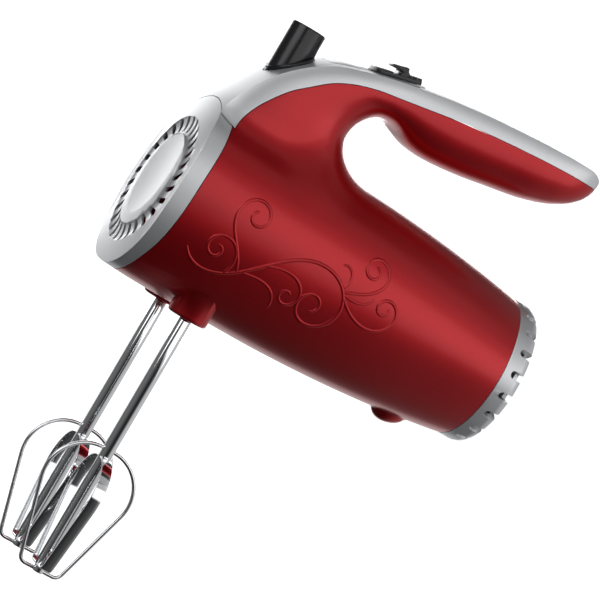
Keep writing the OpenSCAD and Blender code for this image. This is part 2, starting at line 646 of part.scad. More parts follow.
module spindle() difference() {
    translate([0, 0, spindle_bottom]) cylinder(d = spindle_d, h = spindle_top - spindle_bottom);
    translate([0, 0, spindle_bottom - 1]) cylinder(d = shaft_d + 0.1, h = 100);
}
module beater_clip() translate([0, 0, -30]) rotate_extrude()
    translate([spindle_d / 2 + 0.7, 0]) circle(d = 1.2, $fn = 16);
module at_beater(side) translate([beater_x, side * beater_y, 0]) children();
module spindle_left() stand() color(steel) at_beater(1) spindle();
module spindle_right() stand() color(steel) at_beater(-1) spindle();
module worm_wheel_left() stand() color(nylon) at_beater(1) worm_wheel(0);
module worm_wheel_right() stand() color(nylon) at_beater(-1) worm_wheel(0);
module beater_clip_left() stand() color(steel) at_beater(1) beater_clip();
module beater_clip_right() stand() color(steel) at_beater(-1) beater_clip();

// ---- Beaters ----
// Half of a loop in its own plane, from the top at the shaft to the tip: a flat start, a round
// shoulder, a straight run inwards, a small corner and the bottom
loop_lean = 16;
corner_r = 4;
function arc(c, r, a0, a1, n) = [for (i = [0 : n]) let (a = a0 + (a1 - a0) * i / n) c + r * [cos(a), sin(a)]];
function half_loop(w, top, bottom) = let (
    r = 20.2 * w / 23.1, c = [w - r, top - r],
    p = c + r * [cos(loop_lean), -sin(loop_lean)],
    d = [-sin(loop_lean), -cos(loop_lean)], n = [-cos(loop_lean), sin(loop_lean)],
    t = (p[1] + corner_r * n[1] - bottom - corner_r) / cos(loop_lean),
    k = p + d * t + n * corner_r)
    concat([[0, top]], arc(c, r, 90, -loop_lean, 12), arc(k, corner_r, -loop_lean, -90, 5), [[0, bottom]]);
function whole_loop(w, top, bottom) = let (h = half_loop(w, top, bottom), n = len(h))
    concat(h, [for (i = [n - 2 : -1 : 1]) [-h[i][0], h[i][1]]]);
tip_z = -beater_reach;
cage_top = tip_z + cage_h;
wire_w = beater_y - beater_room - wire_d / 2;
blade_out = beater_y - 2.4;
module ring_sweep(loop, profile, up) {
    n = len(loop);
    sides = len(profile);
    points = [for (i = [0 : n - 1])
        let (d = unit(loop[(i + 1) % n] - loop[(i + n - 1) % n]), s = unit(cross(d, up)), u = cross(s, d))
        for (q = profile) loop[i] + s * q[0] + u * q[1]];
    polyhedron(points, [for (i = [0 : n - 1], j = [0 : sides - 1])
        let (k = (j + 1) % sides, a = i * sides, b = ((i + 1) % n) * sides)
        for (f = [[a + j, b + j, b + k], [a + j, b + k, a + k]]) f], convexity = 6);
}
module beater_shaft() {
    translate([0, 0, tip_z]) cylinder(d = shaft_d - 1, h = 4);
    translate([0, 0, tip_z + 3]) cylinder(d = shaft_d, h = shaft_top - 1 - tip_z - 3 + eps);
    translate([0, 0, shaft_top - 1]) cylinder(d1 = shaft_d, d2 = shaft_d - 1.6, h = 1);
}
module shaft_hole(d) translate([0, 0, tip_z - 5]) cylinder(d = d, h = 120);
module beater_wire() difference() {
    ring_sweep([for (p = whole_loop(wire_w, cage_top, tip_z + 1.2)) [p[0], 0, p[1]]],
        round_profile(wire_d / 2, 8), [0, 1, 0]);
    shaft_hole(shaft_d);
}
module beater_blade() difference() {
    ring_sweep([for (p = whole_loop(blade_out - blade_t / 2, cage_top - 4.5, tip_z + 3.6)) [0, p[0], p[1]]],
        [[-blade_t / 2, -blade_w / 2], [-blade_t / 2, blade_w / 2], [blade_t / 2, blade_w / 2],
         [blade_t / 2, -blade_w / 2]], [1, 0, 0]);
    shaft_hole(shaft_d);
}
module beater_shaft_left() stand() color(chrome) at_beater(1) beater_shaft();
module beater_shaft_right() stand() color(chrome) at_beater(-1) beater_shaft();
module beater_wire_left() stand() color(chrome) at_beater(1) beater_wire();
module beater_wire_right() stand() color(chrome) at_beater(-1) beater_wire();
module beater_blade_left() stand() color(chrome) at_beater(1) beater_blade();
module beater_blade_right() stand() color(chrome) at_beater(-1) beater_blade();

// ---- Electrics and cord inlet ----
board = [112, 90, 40, 26, 1.6];
module circuit_board() stand() color([0.1, 0.35, 0.2])
    translate([board[0] * reach_scale, -board[3] / 2, board[1] * rise_scale])
        cube([board[2], board[3], board[4]]);
module suppression_capacitor() stand() color([0.85, 0.65, 0.15])
    translate([(board[0] + 20) * reach_scale, -6, board[1] * rise_scale + board[4]]) cube([16, 12, 8]);
function bezier(p, n) = [for (i = [0 : n]) let (t = i / n, s = 1 - t)
    s * s * s * p[0] + 3 * s * s * t * p[1] + 3 * s * t * t * p[2] + t * t * t * p[3]];
module lead(p) sweep(bezier(p, 20), round_profile(1, 8), [0, 1, 0]);
module wiring() stand() color(black) for (side = [-1, 1]) lead([
    [(board[0] + 2) * reach_scale, side * 11.5, board[1] * rise_scale - 1.2],
    [46, side * 15, board[1] * rise_scale], [46, side * 12, 44],
    [stack_x + 3, side * 15, stator_w / 2 + 1.2]]);
module gland_frame() translate([cord_point[0], 0, cord_point[1]]) rotate([0, cord_tilt, 0]) children();
module cord_gland() stand() color(black) gland_frame() difference() {
    translate([0, 0, -gland_l]) cylinder(d = gland_d, h = gland_l + 0.4);
    translate([0, 0, -20]) cylinder(d = cord_d + 0.3, h = 40);
}
module cord_clamp() stand() color(black) gland_frame() difference() {
    translate([-4.5, -6, -gland_l - 4.5]) cube([8, 12, 4]);
    translate([0, 0, -20]) cylinder(d = cord_d + 0.1, h = 40);
}

main_housing();
handle_cover();
front_grille();
rear_cap();
eject_bezel();
switch_plate();
switch_block();
detent_spring();
gear_frame();
gear_frame_cover();
front_bush();
middle_bush();
rear_bush();
spindle_bushes();
front_motor_bracket();
rear_motor_bracket();
stator_core();
field_coils();
brush_holders();
carbon_brushes();
brush_springs();
gear_frame_screws();
frame_cover_screws();
motor_screws();
circuit_board();
suppression_capacitor();
wiring();
cord_gland();
cord_clamp();
motor_shaft();
worm();
armature_core();
armature_windings();
commutator();
cooling_fan();
spindle_left();
worm_wheel_left();
beater_clip_left();
spindle_right();
worm_wheel_right();
beater_clip_right();
beater_shaft_left();
beater_wire_left();
beater_blade_left();
beater_shaft_right();
beater_wire_right();
beater_blade_right();
eject_button();
ejector_fork();
eject_spring();
speed_slider();
slider_contact();
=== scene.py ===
"""Looks of the hand mixer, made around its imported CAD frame.

Shapes are drawn in millimetres in the working pose, as in the CAD source: x runs from the
front face to the heel, z points to the handle and y is across. TO_ROW then stands them up.
"""

import math

import bmesh
import bpy
import numpy as np
from mathutils import Matrix, Vector


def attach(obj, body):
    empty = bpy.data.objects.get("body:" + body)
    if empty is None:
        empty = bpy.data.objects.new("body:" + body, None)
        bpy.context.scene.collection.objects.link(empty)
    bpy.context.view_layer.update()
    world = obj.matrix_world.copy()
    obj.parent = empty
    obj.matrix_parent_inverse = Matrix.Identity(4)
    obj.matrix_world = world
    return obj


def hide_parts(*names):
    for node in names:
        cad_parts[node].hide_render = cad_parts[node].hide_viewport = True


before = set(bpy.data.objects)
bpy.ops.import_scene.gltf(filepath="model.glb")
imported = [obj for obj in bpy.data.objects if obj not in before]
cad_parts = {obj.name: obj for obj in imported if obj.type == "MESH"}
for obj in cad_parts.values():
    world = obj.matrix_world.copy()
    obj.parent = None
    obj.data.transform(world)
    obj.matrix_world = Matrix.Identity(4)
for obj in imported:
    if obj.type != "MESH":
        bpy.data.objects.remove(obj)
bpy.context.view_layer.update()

# ---- Sizes, in mm ----
BODY_L = 206.0
CAP_X = 194.4
CAP_L = 11.6
BARREL_H = 95.2
BARREL_W = 92.2
REAR_R = 38.0
HEEL_R = 34.5
WALL = 2.4
SEAM = 0.42
SPIGOT_L = 5.0
GRILLE_SEAM_R = 48.5
RIM_OVER = 8.0
BEATER_X = 45.0
BEATER_Y = 24.5
SHAFT_R = 3.25
EJECT_X = 32.5
EJECT_R = 9.0
EJECT_TOP = 99.8
TOP_Z = 111.97
SLIDE_X = 82
SLIDE_LEAN = math.radians(14.0)
PLATE_X = 48
FACE_X = 2.1
FACE_LEAN = math.radians(4.2)
FACE_WAY = (math.cos(FACE_LEAN), 0, -math.sin(FACE_LEAN))
GLAND_AT = (193.9, 0, 94.1)
GLAND_TURN = math.radians(135)
GLAND_WAY = (math.sin(GLAND_TURN), 0, math.cos(GLAND_TURN))
ALONG, UP = (1, 0, 0), (0, 0, 1)

TO_ROW = Matrix(((0, 0, 0.001, 0), (0, 0.001, 0, 0), (-0.001, 0, 0, BODY_L / 1000), (0, 0, 0, 1)))

# Barrel: share of the length to the rear cap, half height, half width, roundness
BARREL = [
    (-0.04, 0.962, 0.83, 2.4), (0.06, 0.99, 0.92, 2.4), (0.155, 1, 0.976, 2.35),
    (0.285, 1, 1, 2.3), (0.465, 0.996, 0.985, 2.25), (0.67, 0.956, 0.95, 2.15),
    (0.825, 0.897, 0.9, 2.08), (1.0, 0.7983, 0.8243, 2.0), (1.05, 0.76, 0.79, 2.0)]
# Neck and grip: inner x and z, rim x and z, half width, depth of the top cover
GRIP = [
    (86, 30, 4.7, 32, 29, 11), (84, 42, 7.2, 41, 27.5, 10), (79, 51, 11, 52, 26, 10),
    (75.5, 58, 16.5, 62, 24.5, 10.5), (74, 64, 22.5, 70.5, 23.5, 11), (75, 70, 29, 77.5, 23, 12),
    (79, 76.5, 38, 85, 22.5, 12), (84, 80, 49, 91.3, 22, 12), (90, 80.3, 62, 95.8, 21.7, 10.5),
    (96, 77.5, 80, 100.5, 21.6, 9), (104, 74.6, 98, 104, 21.8, 8.6),
    (113, 73.7, 113, 106.4, 22, 8.6), (130, 75, 130, 108.5, 22, 8.4),
    (150, 78.3, 150, 110.3, 21.8, 8.2), (170, 82.2, 170, 111.6, 21.2, 8),
    (183, 86.7, 184, 112, 19.5, 7.8), (191.2, 91.5, 192.5, 111.3, 16.5, 7),
    (196.3, 96.5, 197, 109, 12.8, 4.6),
    (199, 101, 199.3, 106.4, 8, 2), (200, 103.6, 200.05, 104.6, 3.4, 0.4)]
FRONT_FACE = [(0.6, -60), (0.35, -35), (0.9, -20), (1.8, 0), (3, 17)]
BAND_EDGE = [(7.9, -60), (6.5, -44), (7.5, -36), (9.7, -24), (11.3, -9), (12.7, 14), (14.5, 30)]
# Beater boss: (radius, height) from the axis out and back
BOSS = [(0, -50), (8.7, -50), (9.6, -49.7), (10.1, -49.1), (10.3, -48.2), (10.3, -34.5), (0, -34.5)]
# Rear foot: middle and radii of its knob and of its toe
FOOT = ((167.5, 0, -38.6), (9.6, 8.2, 8.0))
TOE = ((164.2, 0, -41.6), (5.4, 5.6, 4.9))
# Room that the body form is worked out in, and the two ends it is cut at
FORM_LOW, FORM_HIGH = np.array([-6.0, -49.0, -56.0]), np.array([203.0, 49.0, 120.0])
FORM_ENDS = (-3.6, 201.6)


# ---- Small tools ----
def smooth_line(points, steps, by=slice(0, 2)):
    """A smooth line through the points, as an array with the same columns."""
    p = np.asarray(points, float)
    gaps = np.linalg.norm(np.diff(p[:, by], axis=0), axis=1)
    t = np.concatenate([[0], np.cumsum(gaps)])
    slope = np.gradient(p, t, axis=0)
    rows = []
    for i, gap in enumerate(gaps):
        s = np.arange(steps)[:, None] / steps
        rows.append((2 * s**3 - 3 * s**2 + 1) * p[i] + (s**3 - 2 * s**2 + s) * gap * slope[i]
                    + (3 * s**2 - 2 * s**3) * p[i + 1] + (s**3 - s**2) * gap * slope[i + 1])
    return np.vstack(rows + [p[-1:]])


def new_object(name, data):
    made = bpy.data.objects.new(name, data)
    bpy.context.scene.collection.objects.link(made)
    return made


def mesh_object(name, verts, faces):
    mesh = bpy.data.meshes.new(name)
    mesh.from_pydata([tuple(v) for v in verts], [], [tuple(int(i) for i in f) for f in faces])
    mesh.validate()
    mesh.update()
    return new_object(name, mesh)


def discard(*objects):
    for o in objects:
        bpy.data.objects.remove(o)


def settle(o):
    """Applies o's modifiers, so that its mesh is final."""
    bpy.context.view_layer.update()
    done = bpy.data.meshes.new_from_object(o.evaluated_get(bpy.context.evaluated_depsgraph_get()))
    o.modifiers.clear()
    o.data = done
    return o


def combine(base, tool, how="DIFFERENCE"):
    """Cuts the tool from base, or joins or intersects them, and uses the tool up."""
    cut = base.modifiers.new("combine", "BOOLEAN")
    cut.operation, cut.object, cut.solver = how, tool, "MANIFOLD"
    settle(base)
    discard(tool)
    return base


def copy_of(o, name):
    return new_object(name, o.data.copy())


def mark_all(o, index):
    """Sets the material number of every face: 0 for the painted skin, 1 for cut faces."""
    while len(o.data.materials) < 2:
        o.data.materials.append(None)
    o.data.polygons.foreach_set("material_index", [index] * len(o.data.polygons))
    return o


def carve(o, tool, how="DIFFERENCE", index=1):
    """Combines o with a tool whose faces all have this material number."""
    return combine(o, mark_all(tool, index), how)


def outwards(o):
    """Joins doubled points and turns every face outwards."""
    b = bmesh.new()
    b.from_mesh(o.data)
    bmesh.ops.remove_doubles(b, verts=b.verts, dist=1e-5)
    bmesh.ops.recalc_face_normals(b, faces=b.faces)
    if b.calc_volume(signed=True) < 0:
        bmesh.ops.reverse_faces(b, faces=b.faces)
    b.to_mesh(o.data)
    b.free()
    return o


def turned(name, profile, start, axis, sides=96, closed=True):
    """A solid turned about a line from start along axis. The profile is (radius, along)."""
    axis = Vector(axis).normalized()
    side = axis.orthogonal().normalized()
    other = axis.cross(side)
    verts, rings = [], []
    for r, along in profile:
        base = Vector(start) + axis * along
        if r < 1e-6:
            rings.append([len(verts)])
            verts.append(base)
        else:
            rings.append(list(range(len(verts), len(verts) + sides)))
            for i in range(sides):
                a = 2 * math.pi * i / sides
                verts.append(base + side * (r * math.cos(a)) + other * (r * math.sin(a)))
    faces = []
    pairs = list(zip(rings, rings[1:] + rings[:1])) if closed else list(zip(rings, rings[1:]))
    for low, high in pairs:
        for i in range(sides):
            j = (i + 1) % sides
            if len(low) == 1 and len(high) == 1:
                break
            if len(low) == 1:
                faces.append((low[0], high[j], high[i]))
            elif len(high) == 1:
                faces.append((low[i], low[j], high[0]))
            else:
                faces.append((low[i], low[j], high[j], high[i]))
    return outwards(mesh_object(name, verts, faces))


def cylinder(name, r, low, high, start, axis, sides=96):
    """A round bar between two distances from start along axis."""
    profile = [(0, low), (r, low), (r, high), (0, high)]
    return turned(name, profile, start, axis, sides, closed=False)


def extruded(name, outline, low, high, across="y"):
    """A slab between two planes. The outline is (x, z) for y, (y, z) for x or (x, y) for z."""
    spot = {"y": lambda a, b, h: (a, h, b), "x": lambda a, b, h: (h, a, b),
            "z": lambda a, b, h: (a, b, h)}[across]
    n = len(outline)
    verts = [spot(a, b, h) for h in (low, high) for a, b in outline]
    faces = [range(n), range(n, 2 * n)]
    faces += [(i, (i + 1) % n, (i + 1) % n + n, i + n) for i in range(n)]
    return outwards(mesh_object(name, verts, faces))


def swept(name, path, profile, up):
    """A strip or tube along a closed path. The profile is (sideways, upwards) points."""
    path = [Vector(p) for p in path]
    n, m = len(path), len(profile)
    verts = []
    for i, p in enumerate(path):
        along = (path[(i + 1) % n] - path[i - 1]).normalized()
        side = along.cross(Vector(up)).normalized()
        lift = side.cross(along)
        verts += [p + side * a + lift * b for a, b in profile]
    faces = [(i * m + j, (i + 1) % n * m + j, (i + 1) % n * m + (j + 1) % m, i * m + (j + 1) % m)
             for i in range(n) for j in range(m)]
    return outwards(mesh_object(name, verts, faces))


def circle_points(r, count):
    return [(r * math.cos(2 * math.pi * i / count), r * math.sin(2 * math.pi * i / count))
            for i in range(count)]


def soften(o, width, segments=2, angle=35):
    """Rounds the crisp edges of a piece."""
    b = o.modifiers.new("soften", "BEVEL")
    b.width, b.segments = width, segments
    b.limit_method, b.angle_limit = "ANGLE", math.radians(angle)
    b.use_clamp_overlap = True
    return settle(o)


def shade(o, angle=32):
    """Smooth shading with crisp edges where faces meet at a larger angle."""
    o.data.shade_smooth()
    o.data.set_sharp_from_angle(angle=math.radians(angle))
    return o


def finish_piece(o, body, slot, materials, *nodes):
    """Stands a finished mesh up in the row frame and lets it ride on its body."""
    o.data.transform(TO_ROW)
    o.data.materials.clear()
    for m in materials if isinstance(materials, (list, tuple)) else [materials]:
        o.data.materials.append(m)
    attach(o, body)
    if nodes:
        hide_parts(*nodes)
    return o


# ---- Body form, as a distance field ----
class BodyForm:
    """The casing's rounded form: barrel, neck, grip, the ridges into the bosses and the foot."""

    def __init__(self, step):
        self.step = step
        self.low = FORM_LOW
        count = np.ceil((FORM_HIGH - FORM_LOW) / step).astype(int) + 1
        self.axes = [self.low[k] + step * np.arange(count[k]) for k in range(3)]
        x, y, z = (a.reshape(s) for a, s in zip(self.axes, [(-1, 1, 1), (1, -1, 1), (1, 1, -1)]))
        barrel = self.barrel(x, y, z)
        grip = self.grip(x, y, z)
        t = np.clip((x - 38) / 34, 0, 1)
        field = self.merge(barrel, grip, 6 + 11 * t * t * (3 - 2 * t))
        field = self.merge(field, self.ridge(x, y, z), 0.8)
        foot = self.merge(self.egg(x, y, z, *FOOT), self.egg(x, y, z, *TOE), 3.0)
        field = self.merge(field, foot, 1.0)
        field = np.maximum(field, np.maximum(FORM_ENDS[0] - x, x - FORM_ENDS[1]))
        self.field = field
        self.slope = np.stack(np.gradient(field, step), -1)

    @staticmethod
    def merge(a, b, k):
        """Union of two distances, rounded over about k where they meet."""
        h = np.clip(0.5 + 0.5 * (b - a) / k, 0, 1)
        return b * (1 - h) + a * h - k * h * (1 - h)

    @staticmethod
    def egg(x, y, z, centre, radii):
        """Distance to an ellipsoid."""
        a, b, c = ((v - m) / r for v, m, r in zip((x, y, z), centre, radii))
        size = np.sqrt(a**2 + b**2 + c**2) + 1e-9
        grade = np.sqrt((a / radii[0]) ** 2 + (b / radii[1]) ** 2 + (c / radii[2]) ** 2) / size
        return (size - 1) / (grade + 1e-9)

    @staticmethod
    def ridge(x, y, z):
        """Distance to the tapered ridge that runs from the front band into each boss."""
        t = np.clip((x - 4) / (BEATER_X - 4), 0, 1)
        radius = 4.6 + 4.6 * t * t
        across = np.abs(y) - (20.5 + 4.2 * t)
        level = (z + 35.2 + 2.2 * t) * 1.1
        return np.sqrt(across**2 + level**2) - radius + np.maximum(x - BEATER_X, 0)

    @staticmethod
    def section(u, v, half_u, half_v, n):
        """Distance to a superellipse, for shares u and v of its half sizes."""
        au, av = np.abs(u) + 1e-6, np.abs(v) + 1e-6
        size = (au**n + av**n) ** (1 / n)
        grade = np.sqrt((au ** (n - 1) / half_u) ** 2 + (av ** (n - 1) / half_v) ** 2)
        return (size - 1) / (grade / size ** (n - 1))

    def barrel(self, x, y, z):
        """Distance to the barrel."""
        rows = smooth_line(BARREL, 12, slice(0, 1))
        at = rows[:, 0] * CAP_X
        high = np.interp(x, at, rows[:, 1]) * BARREL_H / 2
        wide = np.interp(x, at, rows[:, 2]) * BARREL_W / 2
        return self.section(z / high, y / wide, high, wide, np.interp(x, at, rows[:, 3]))

    def grip(self, x, y, z):
        """Distance to the neck and grip: each point is measured between its two sections."""
        rows = smooth_line(GRIP, 10, slice(0, 4))
        inner, rim, half_w = rows[:, 0:2], rows[:, 2:4], rows[:, 4]
        length = np.linalg.norm(rim - inner, axis=1)
        along = (rim - inner) / length[:, None]
        ahead = np.stack([along[:, 1], -along[:, 0]], -1)
        px, pz = np.meshgrid(x.ravel(), z.ravel(), indexing="ij")
        p = np.stack([px, pz], -1).reshape(-1, 2)
        ahead_by = np.einsum("pk,sk->ps", p, ahead) - np.einsum("sk,sk->s", inner, ahead)
        share = (np.einsum("pk,sk->ps", p, along) - np.einsum("sk,sk->s", inner, along)) / length
        between = (ahead_by[:, :-1] >= 0) & (ahead_by[:, 1:] < 0)
        excess = np.maximum(np.maximum(-share, share - 1), 0)
        excess = np.where(between, np.maximum(excess[:, :-1], excess[:, 1:]), 1e3)
        pick = excess.argmin(1)
        row = np.arange(len(p))
        gap = ahead_by[row, pick] - ahead_by[row, pick + 1]
        t = np.where(excess[row, pick] < 1e3, ahead_by[row, pick] / np.maximum(gap, 1e-9), 0)
        past = np.where(excess[row, pick] < 1e3, 0.0, 1.0)
        start = past.astype(bool) & (np.abs(ahead_by[:, 0]) <= np.abs(ahead_by[:, -1]))
        end = past.astype(bool) & ~start
        pick = np.where(start, 0, np.where(end, len(length) - 2, pick))
        t = np.where(start, 0.0, np.where(end, 1.0, t))
        beyond = np.where(end, np.abs(ahead_by[:, -1]), 0.0)
        beyond = np.where(start, np.abs(ahead_by[:, 0]), beyond)

        def mix(v):
            return v[pick] * (1 - t) + v[pick + 1] * t

        half_l = (mix(length) + RIM_OVER) / 2
        at_inner = np.stack([mix(inner[:, 0]), mix(inner[:, 1])], -1)
        way = np.stack([mix(along[:, 0]), mix(along[:, 1])], -1)
        way /= np.linalg.norm(way, axis=1)[:, None]
        u = (((p - at_inner) * way).sum(1) - half_l) / half_l
        shape = (px.shape[0], 1, px.shape[1])
        u, half_l, wide, beyond = (v.reshape(shape) for v in (u, half_l, mix(half_w), beyond))
        near = self.section(u, y / wide, half_l, wide, 2.6)
        return np.where(beyond > 0, np.sqrt(np.maximum(near, 0) ** 2 + beyond**2), near)

    def sample(self, grid, points):
        """Values of a grid of numbers or vectors between its nodes."""
        q = (points - self.low) / self.step
        i = np.clip(np.floor(q).astype(int), 0, np.array(self.field.shape) - 2)
        f = q - i
        total = 0
        for c in range(8):
            o = np.array([c >> 2 & 1, c >> 1 & 1, c & 1])
            w = np.prod(np.where(o, f, 1 - f), axis=1)
            v = grid[tuple((i + o).T)]
            total = total + (w[:, None] if v.ndim > 1 else w) * v
        return total

    def skin(self, name, depth=0.0, every=1):
        """A closed mesh of the form, grown inwards by depth, by surface nets."""
        field = self.field[::every, ::every, ::every] + depth
        step = self.step * every
        n = np.array(field.shape)
        inside = field < 0
        corner = [(c >> 2 & 1, c >> 1 & 1, c & 1) for c in range(8)]

        def at_corner(grid, o):
            return grid[o[0]:n[0] - 1 + o[0], o[1]:n[1] - 1 + o[1], o[2]:n[2] - 1 + o[2]]

        count = sum(at_corner(inside, o).astype(int) for o in corner)
        active = (count > 0) & (count < 8)
        cells = np.argwhere(active)
        number = -np.ones(active.shape, int)
        number[active] = np.arange(len(cells))
        value = np.stack([at_corner(field, o)[active] for o in corner], 1)
        place, crossings = np.zeros((len(cells), 3)), np.zeros(len(cells))
        for a in range(8):
            for b in range(a + 1, 8):
                if bin(a ^ b).count("1") != 1:
                    continue
                va, vb, ca, cb = value[:, a], value[:, b], np.array(corner[a]), np.array(corner[b])
                crosses = (va < 0) != (vb < 0)
                t = np.where(crosses, va / np.where(crosses, va - vb, 1), 0)
                spot = ca + t[:, None] * (cb - ca)
                place += spot * crosses[:, None]
                crossings += crosses
        verts = self.low + (cells + place / crossings[:, None]) * step
        for _ in range(3):
            d, g = self.sample(self.field, verts) + depth, self.sample(self.slope, verts)
            verts -= np.clip(d / ((g**2).sum(1) + 1e-9), -step, step)[:, None] * g
        faces = []
        for k in range(3):
            u, v = (k + 1) % 3, (k + 2) % 3
            ahead = np.roll(inside, -1, axis=k)
            change = inside != ahead
            cut = [slice(1, n[j] - 1) for j in range(3)]
            cut[k] = slice(0, n[k] - 1)
            dk, du, dv = (np.eye(3, dtype=int)[j] for j in (k, u, v))
            hits = np.argwhere(change[tuple(cut)]) + 1 - dk
            ring = [number[tuple((hits - o).T)] for o in (du + dv, dv, 0 * du, du)]
            quad = np.stack(ring, 1)
            flip = ~inside[tuple(hits.T)]
            quad[flip] = quad[flip][:, ::-1]
            faces.append(quad)
        return mesh_object(name, verts, np.vstack(faces))

    def soft_normals(self, o, angle=32):
        """Gives faces of the rounded form (material 0) the form's own normals."""
        def values(items, field, kind, shape=(-1,)):
            found = np.zeros(len(items) * abs(shape[-1]), kind)
            items.foreach_get(field, found)
            return found.reshape(shape)

        mesh = shade(o, angle).data
        normals = values(mesh.corner_normals, "vector", np.float32, (-1, 3))
        vertex = values(mesh.loops, "vertex_index", np.int32)
        place = values(mesh.vertices, "co", float, (-1, 3))
        painted = values(mesh.polygons, "material_index", np.int32) == 0
        skin = np.repeat(painted, values(mesh.polygons, "loop_total", np.int32))
        slope = self.sample(self.slope, place)
        off = np.abs(self.sample(self.field, place)) > 0.25
        slope /= np.linalg.norm(slope, axis=1)[:, None] + 1e-9
        use = skin & ~off[vertex] & ((slope[vertex] * normals).sum(1) > 0.6)
        normals[use] = slope[vertex][use]
        mesh.normals_split_custom_set([tuple(v) for v in normals])
        return o


# ---- Outlines ----
def rim_z(x):
    """Height of the cover's top line."""
    line = smooth_line([s[2:4] for s in GRIP], 12)
    return float(np.interp(x, line[:, 0], line[:, 1]))


def outline_slab(name, inset=0.0, crown=0.0):
    """Side outline of the casing, pulled in by inset and crowned towards the sides."""
    line = smooth_line(FRONT_FACE + [s[2:4] for s in GRIP], 8)
    line = np.vstack([line, [[200.35, 104.0]]])
    line[:, 1] = np.minimum(line[:, 1], TOP_Z)
    along = np.gradient(line, axis=0)
    along /= np.linalg.norm(along, axis=1)[:, None] + 1e-9
    inwards = np.stack([along[:, 1], -along[:, 0]], -1)
    ys = np.linspace(-52, 52, 27)
    n = len(line) + 2
    verts = []
    for y in ys:
        drop = inset + crown * min(abs(y) / 22.0, 1.6) ** 2
        shifted = line + inwards * drop
        shifted = np.vstack([shifted, [[230, 104.0], [230, -50 + inset * 8]]])
        shifted[0] = [shifted[0][0], -50 + inset * 8]
        verts += [(x, y, z) for x, z in shifted]
    faces = [(i * n + j, i * n + (j + 1) % n, (i + 1) * n + (j + 1) % n, (i + 1) * n + j)
             for i in range(len(ys) - 1) for j in range(n)]
    faces += [range(n), range((len(ys) - 1) * n, len(ys) * n)]
    return outwards(mesh_object(name, verts, faces))


def cover_seam():
    """The line where the top cover meets the red casing along the grip."""
    rows = np.array(GRIP, float)
    inner, rim = rows[:, 0:2], rows[:, 2:4]
    way = (inner - rim) / np.linalg.norm(inner - rim, axis=1)[:, None]
    return smooth_line(rim + way * rows[:, 5:6], 8)


def cover_slab(name, grow):
    """The room above the cover's seam, with its edge moved out by grow."""
    seam = cover_seam() + np.array([[0.7 * grow, -0.7 * grow]])
    points = [(-30, 0), (11 + grow, 0)] + [tuple(p) for p in seam]
    points += [(210, 104 - grow), (210, 200), (-30, 200)]
    drum = cylinder("seam_drum", GRILLE_SEAM_R + SEAM - grow, 0, 100, (-60, 0, 0), ALONG)
    return combine(extruded(name, points, -70, 70), drum)


def grille_slab(name, grow):
    """The room ahead of the front band's edge, which is moved back by grow."""
    edge = smooth_line(BAND_EDGE, 8) + np.array([[grow, 0]])
    points = [(-20, -70)] + [tuple(p) for p in edge] + [(17.5 + grow, 60), (-20, 60)]
    drum = cylinder("seam_drum", GRILLE_SEAM_R + grow, 0, 80, (-30, 0, 0), ALONG)
    return combine(extruded(name, points, -70, 70), drum, "INTERSECT")


# ---- Geometry Nodes ----
def node_group(name, **inputs):
    """A group with geometry in and out: its tree, both ends and the keys of its other inputs."""
    tree = bpy.data.node_groups.new(name, "GeometryNodeTree")

    def socket(label, way, kind):
        made = tree.interface.new_socket(label, in_out=way, socket_type="NodeSocket" + kind)
        return made.identifier

    socket("Geometry", "INPUT", "Geometry")
    keys = [socket(label.replace("_", " "), "INPUT", kind) for label, kind in inputs.items()]
    socket("Geometry", "OUTPUT", "Geometry")
    return tree, tree.nodes.new("NodeGroupInput"), tree.nodes.new("NodeGroupOutput"), keys


def math_node(tree, operation):
    made = tree.nodes.new("ShaderNodeMath")
    made.operation = operation
    return made


def ring_of(name, tool, count, radius, start_share=0.0):
    """Copies of a small tool around the barrel's axis."""
    tree, source, sink, keys = node_group(name + "_ring", Count="Int", Radius="Float",
                                          Start_Turn="Float", Tool="Object")
    node, link = tree.nodes.new, tree.links.new
    points = node("GeometryNodePoints")
    index = node("GeometryNodeInputIndex")
    share = math_node(tree, "DIVIDE")
    angle = math_node(tree, "MULTIPLY_ADD")
    angle.inputs[1].default_value = 2 * math.pi
    turn = node("ShaderNodeCombineXYZ")
    info = node("GeometryNodeObjectInfo")
    place = node("GeometryNodeInstanceOnPoints")
    move = node("ShaderNodeCombineXYZ")
    shift = node("GeometryNodeTranslateInstances")
    real = node("GeometryNodeRealizeInstances")
    paint = node("GeometryNodeSetMaterial")
    link(source.outputs["Count"], points.inputs["Count"])
    link(index.outputs[0], share.inputs[0])
    link(source.outputs["Count"], share.inputs[1])
    link(share.outputs[0], angle.inputs[0])
    link(source.outputs["Start Turn"], angle.inputs[2])
    link(angle.outputs[0], turn.inputs["X"])
    link(source.outputs["Tool"], info.inputs["Object"])
    link(points.outputs[0], place.inputs["Points"])
    link(info.outputs["Geometry"], place.inputs["Instance"])
    link(turn.outputs[0], place.inputs["Rotation"])
    link(source.outputs["Radius"], move.inputs["Z"])
    link(place.outputs[0], shift.inputs["Instances"])
    link(move.outputs[0], shift.inputs["Translation"])
    link(shift.outputs[0], real.inputs[0])
    link(real.outputs[0], paint.inputs["Geometry"])
    link(paint.outputs[0], sink.inputs[0])
    made = mesh_object(name, [], [])
    grow = made.modifiers.new("ring", "NODES")
    grow.node_group = tree
    for key, value in zip(keys, (count, radius, 2 * math.pi * start_share / count, tool)):
        grow[key] = value
    settle(made)
    discard(tool)
    return made


# ---- Materials ----
def new_material(name, base, rough, metal=0.0, **sockets):
    m = bpy.data.materials.new(name)
    m.use_nodes = True
    shader = m.node_tree.nodes["Principled BSDF"]
    shader.inputs["Base Color"].default_value = (*base, 1)
    shader.inputs["Roughness"].default_value = rough
    shader.inputs["Metallic"].default_value = metal
    for socket, value in sockets.items():
        shader.inputs[socket.replace("_", " ")].default_value = value
    return m


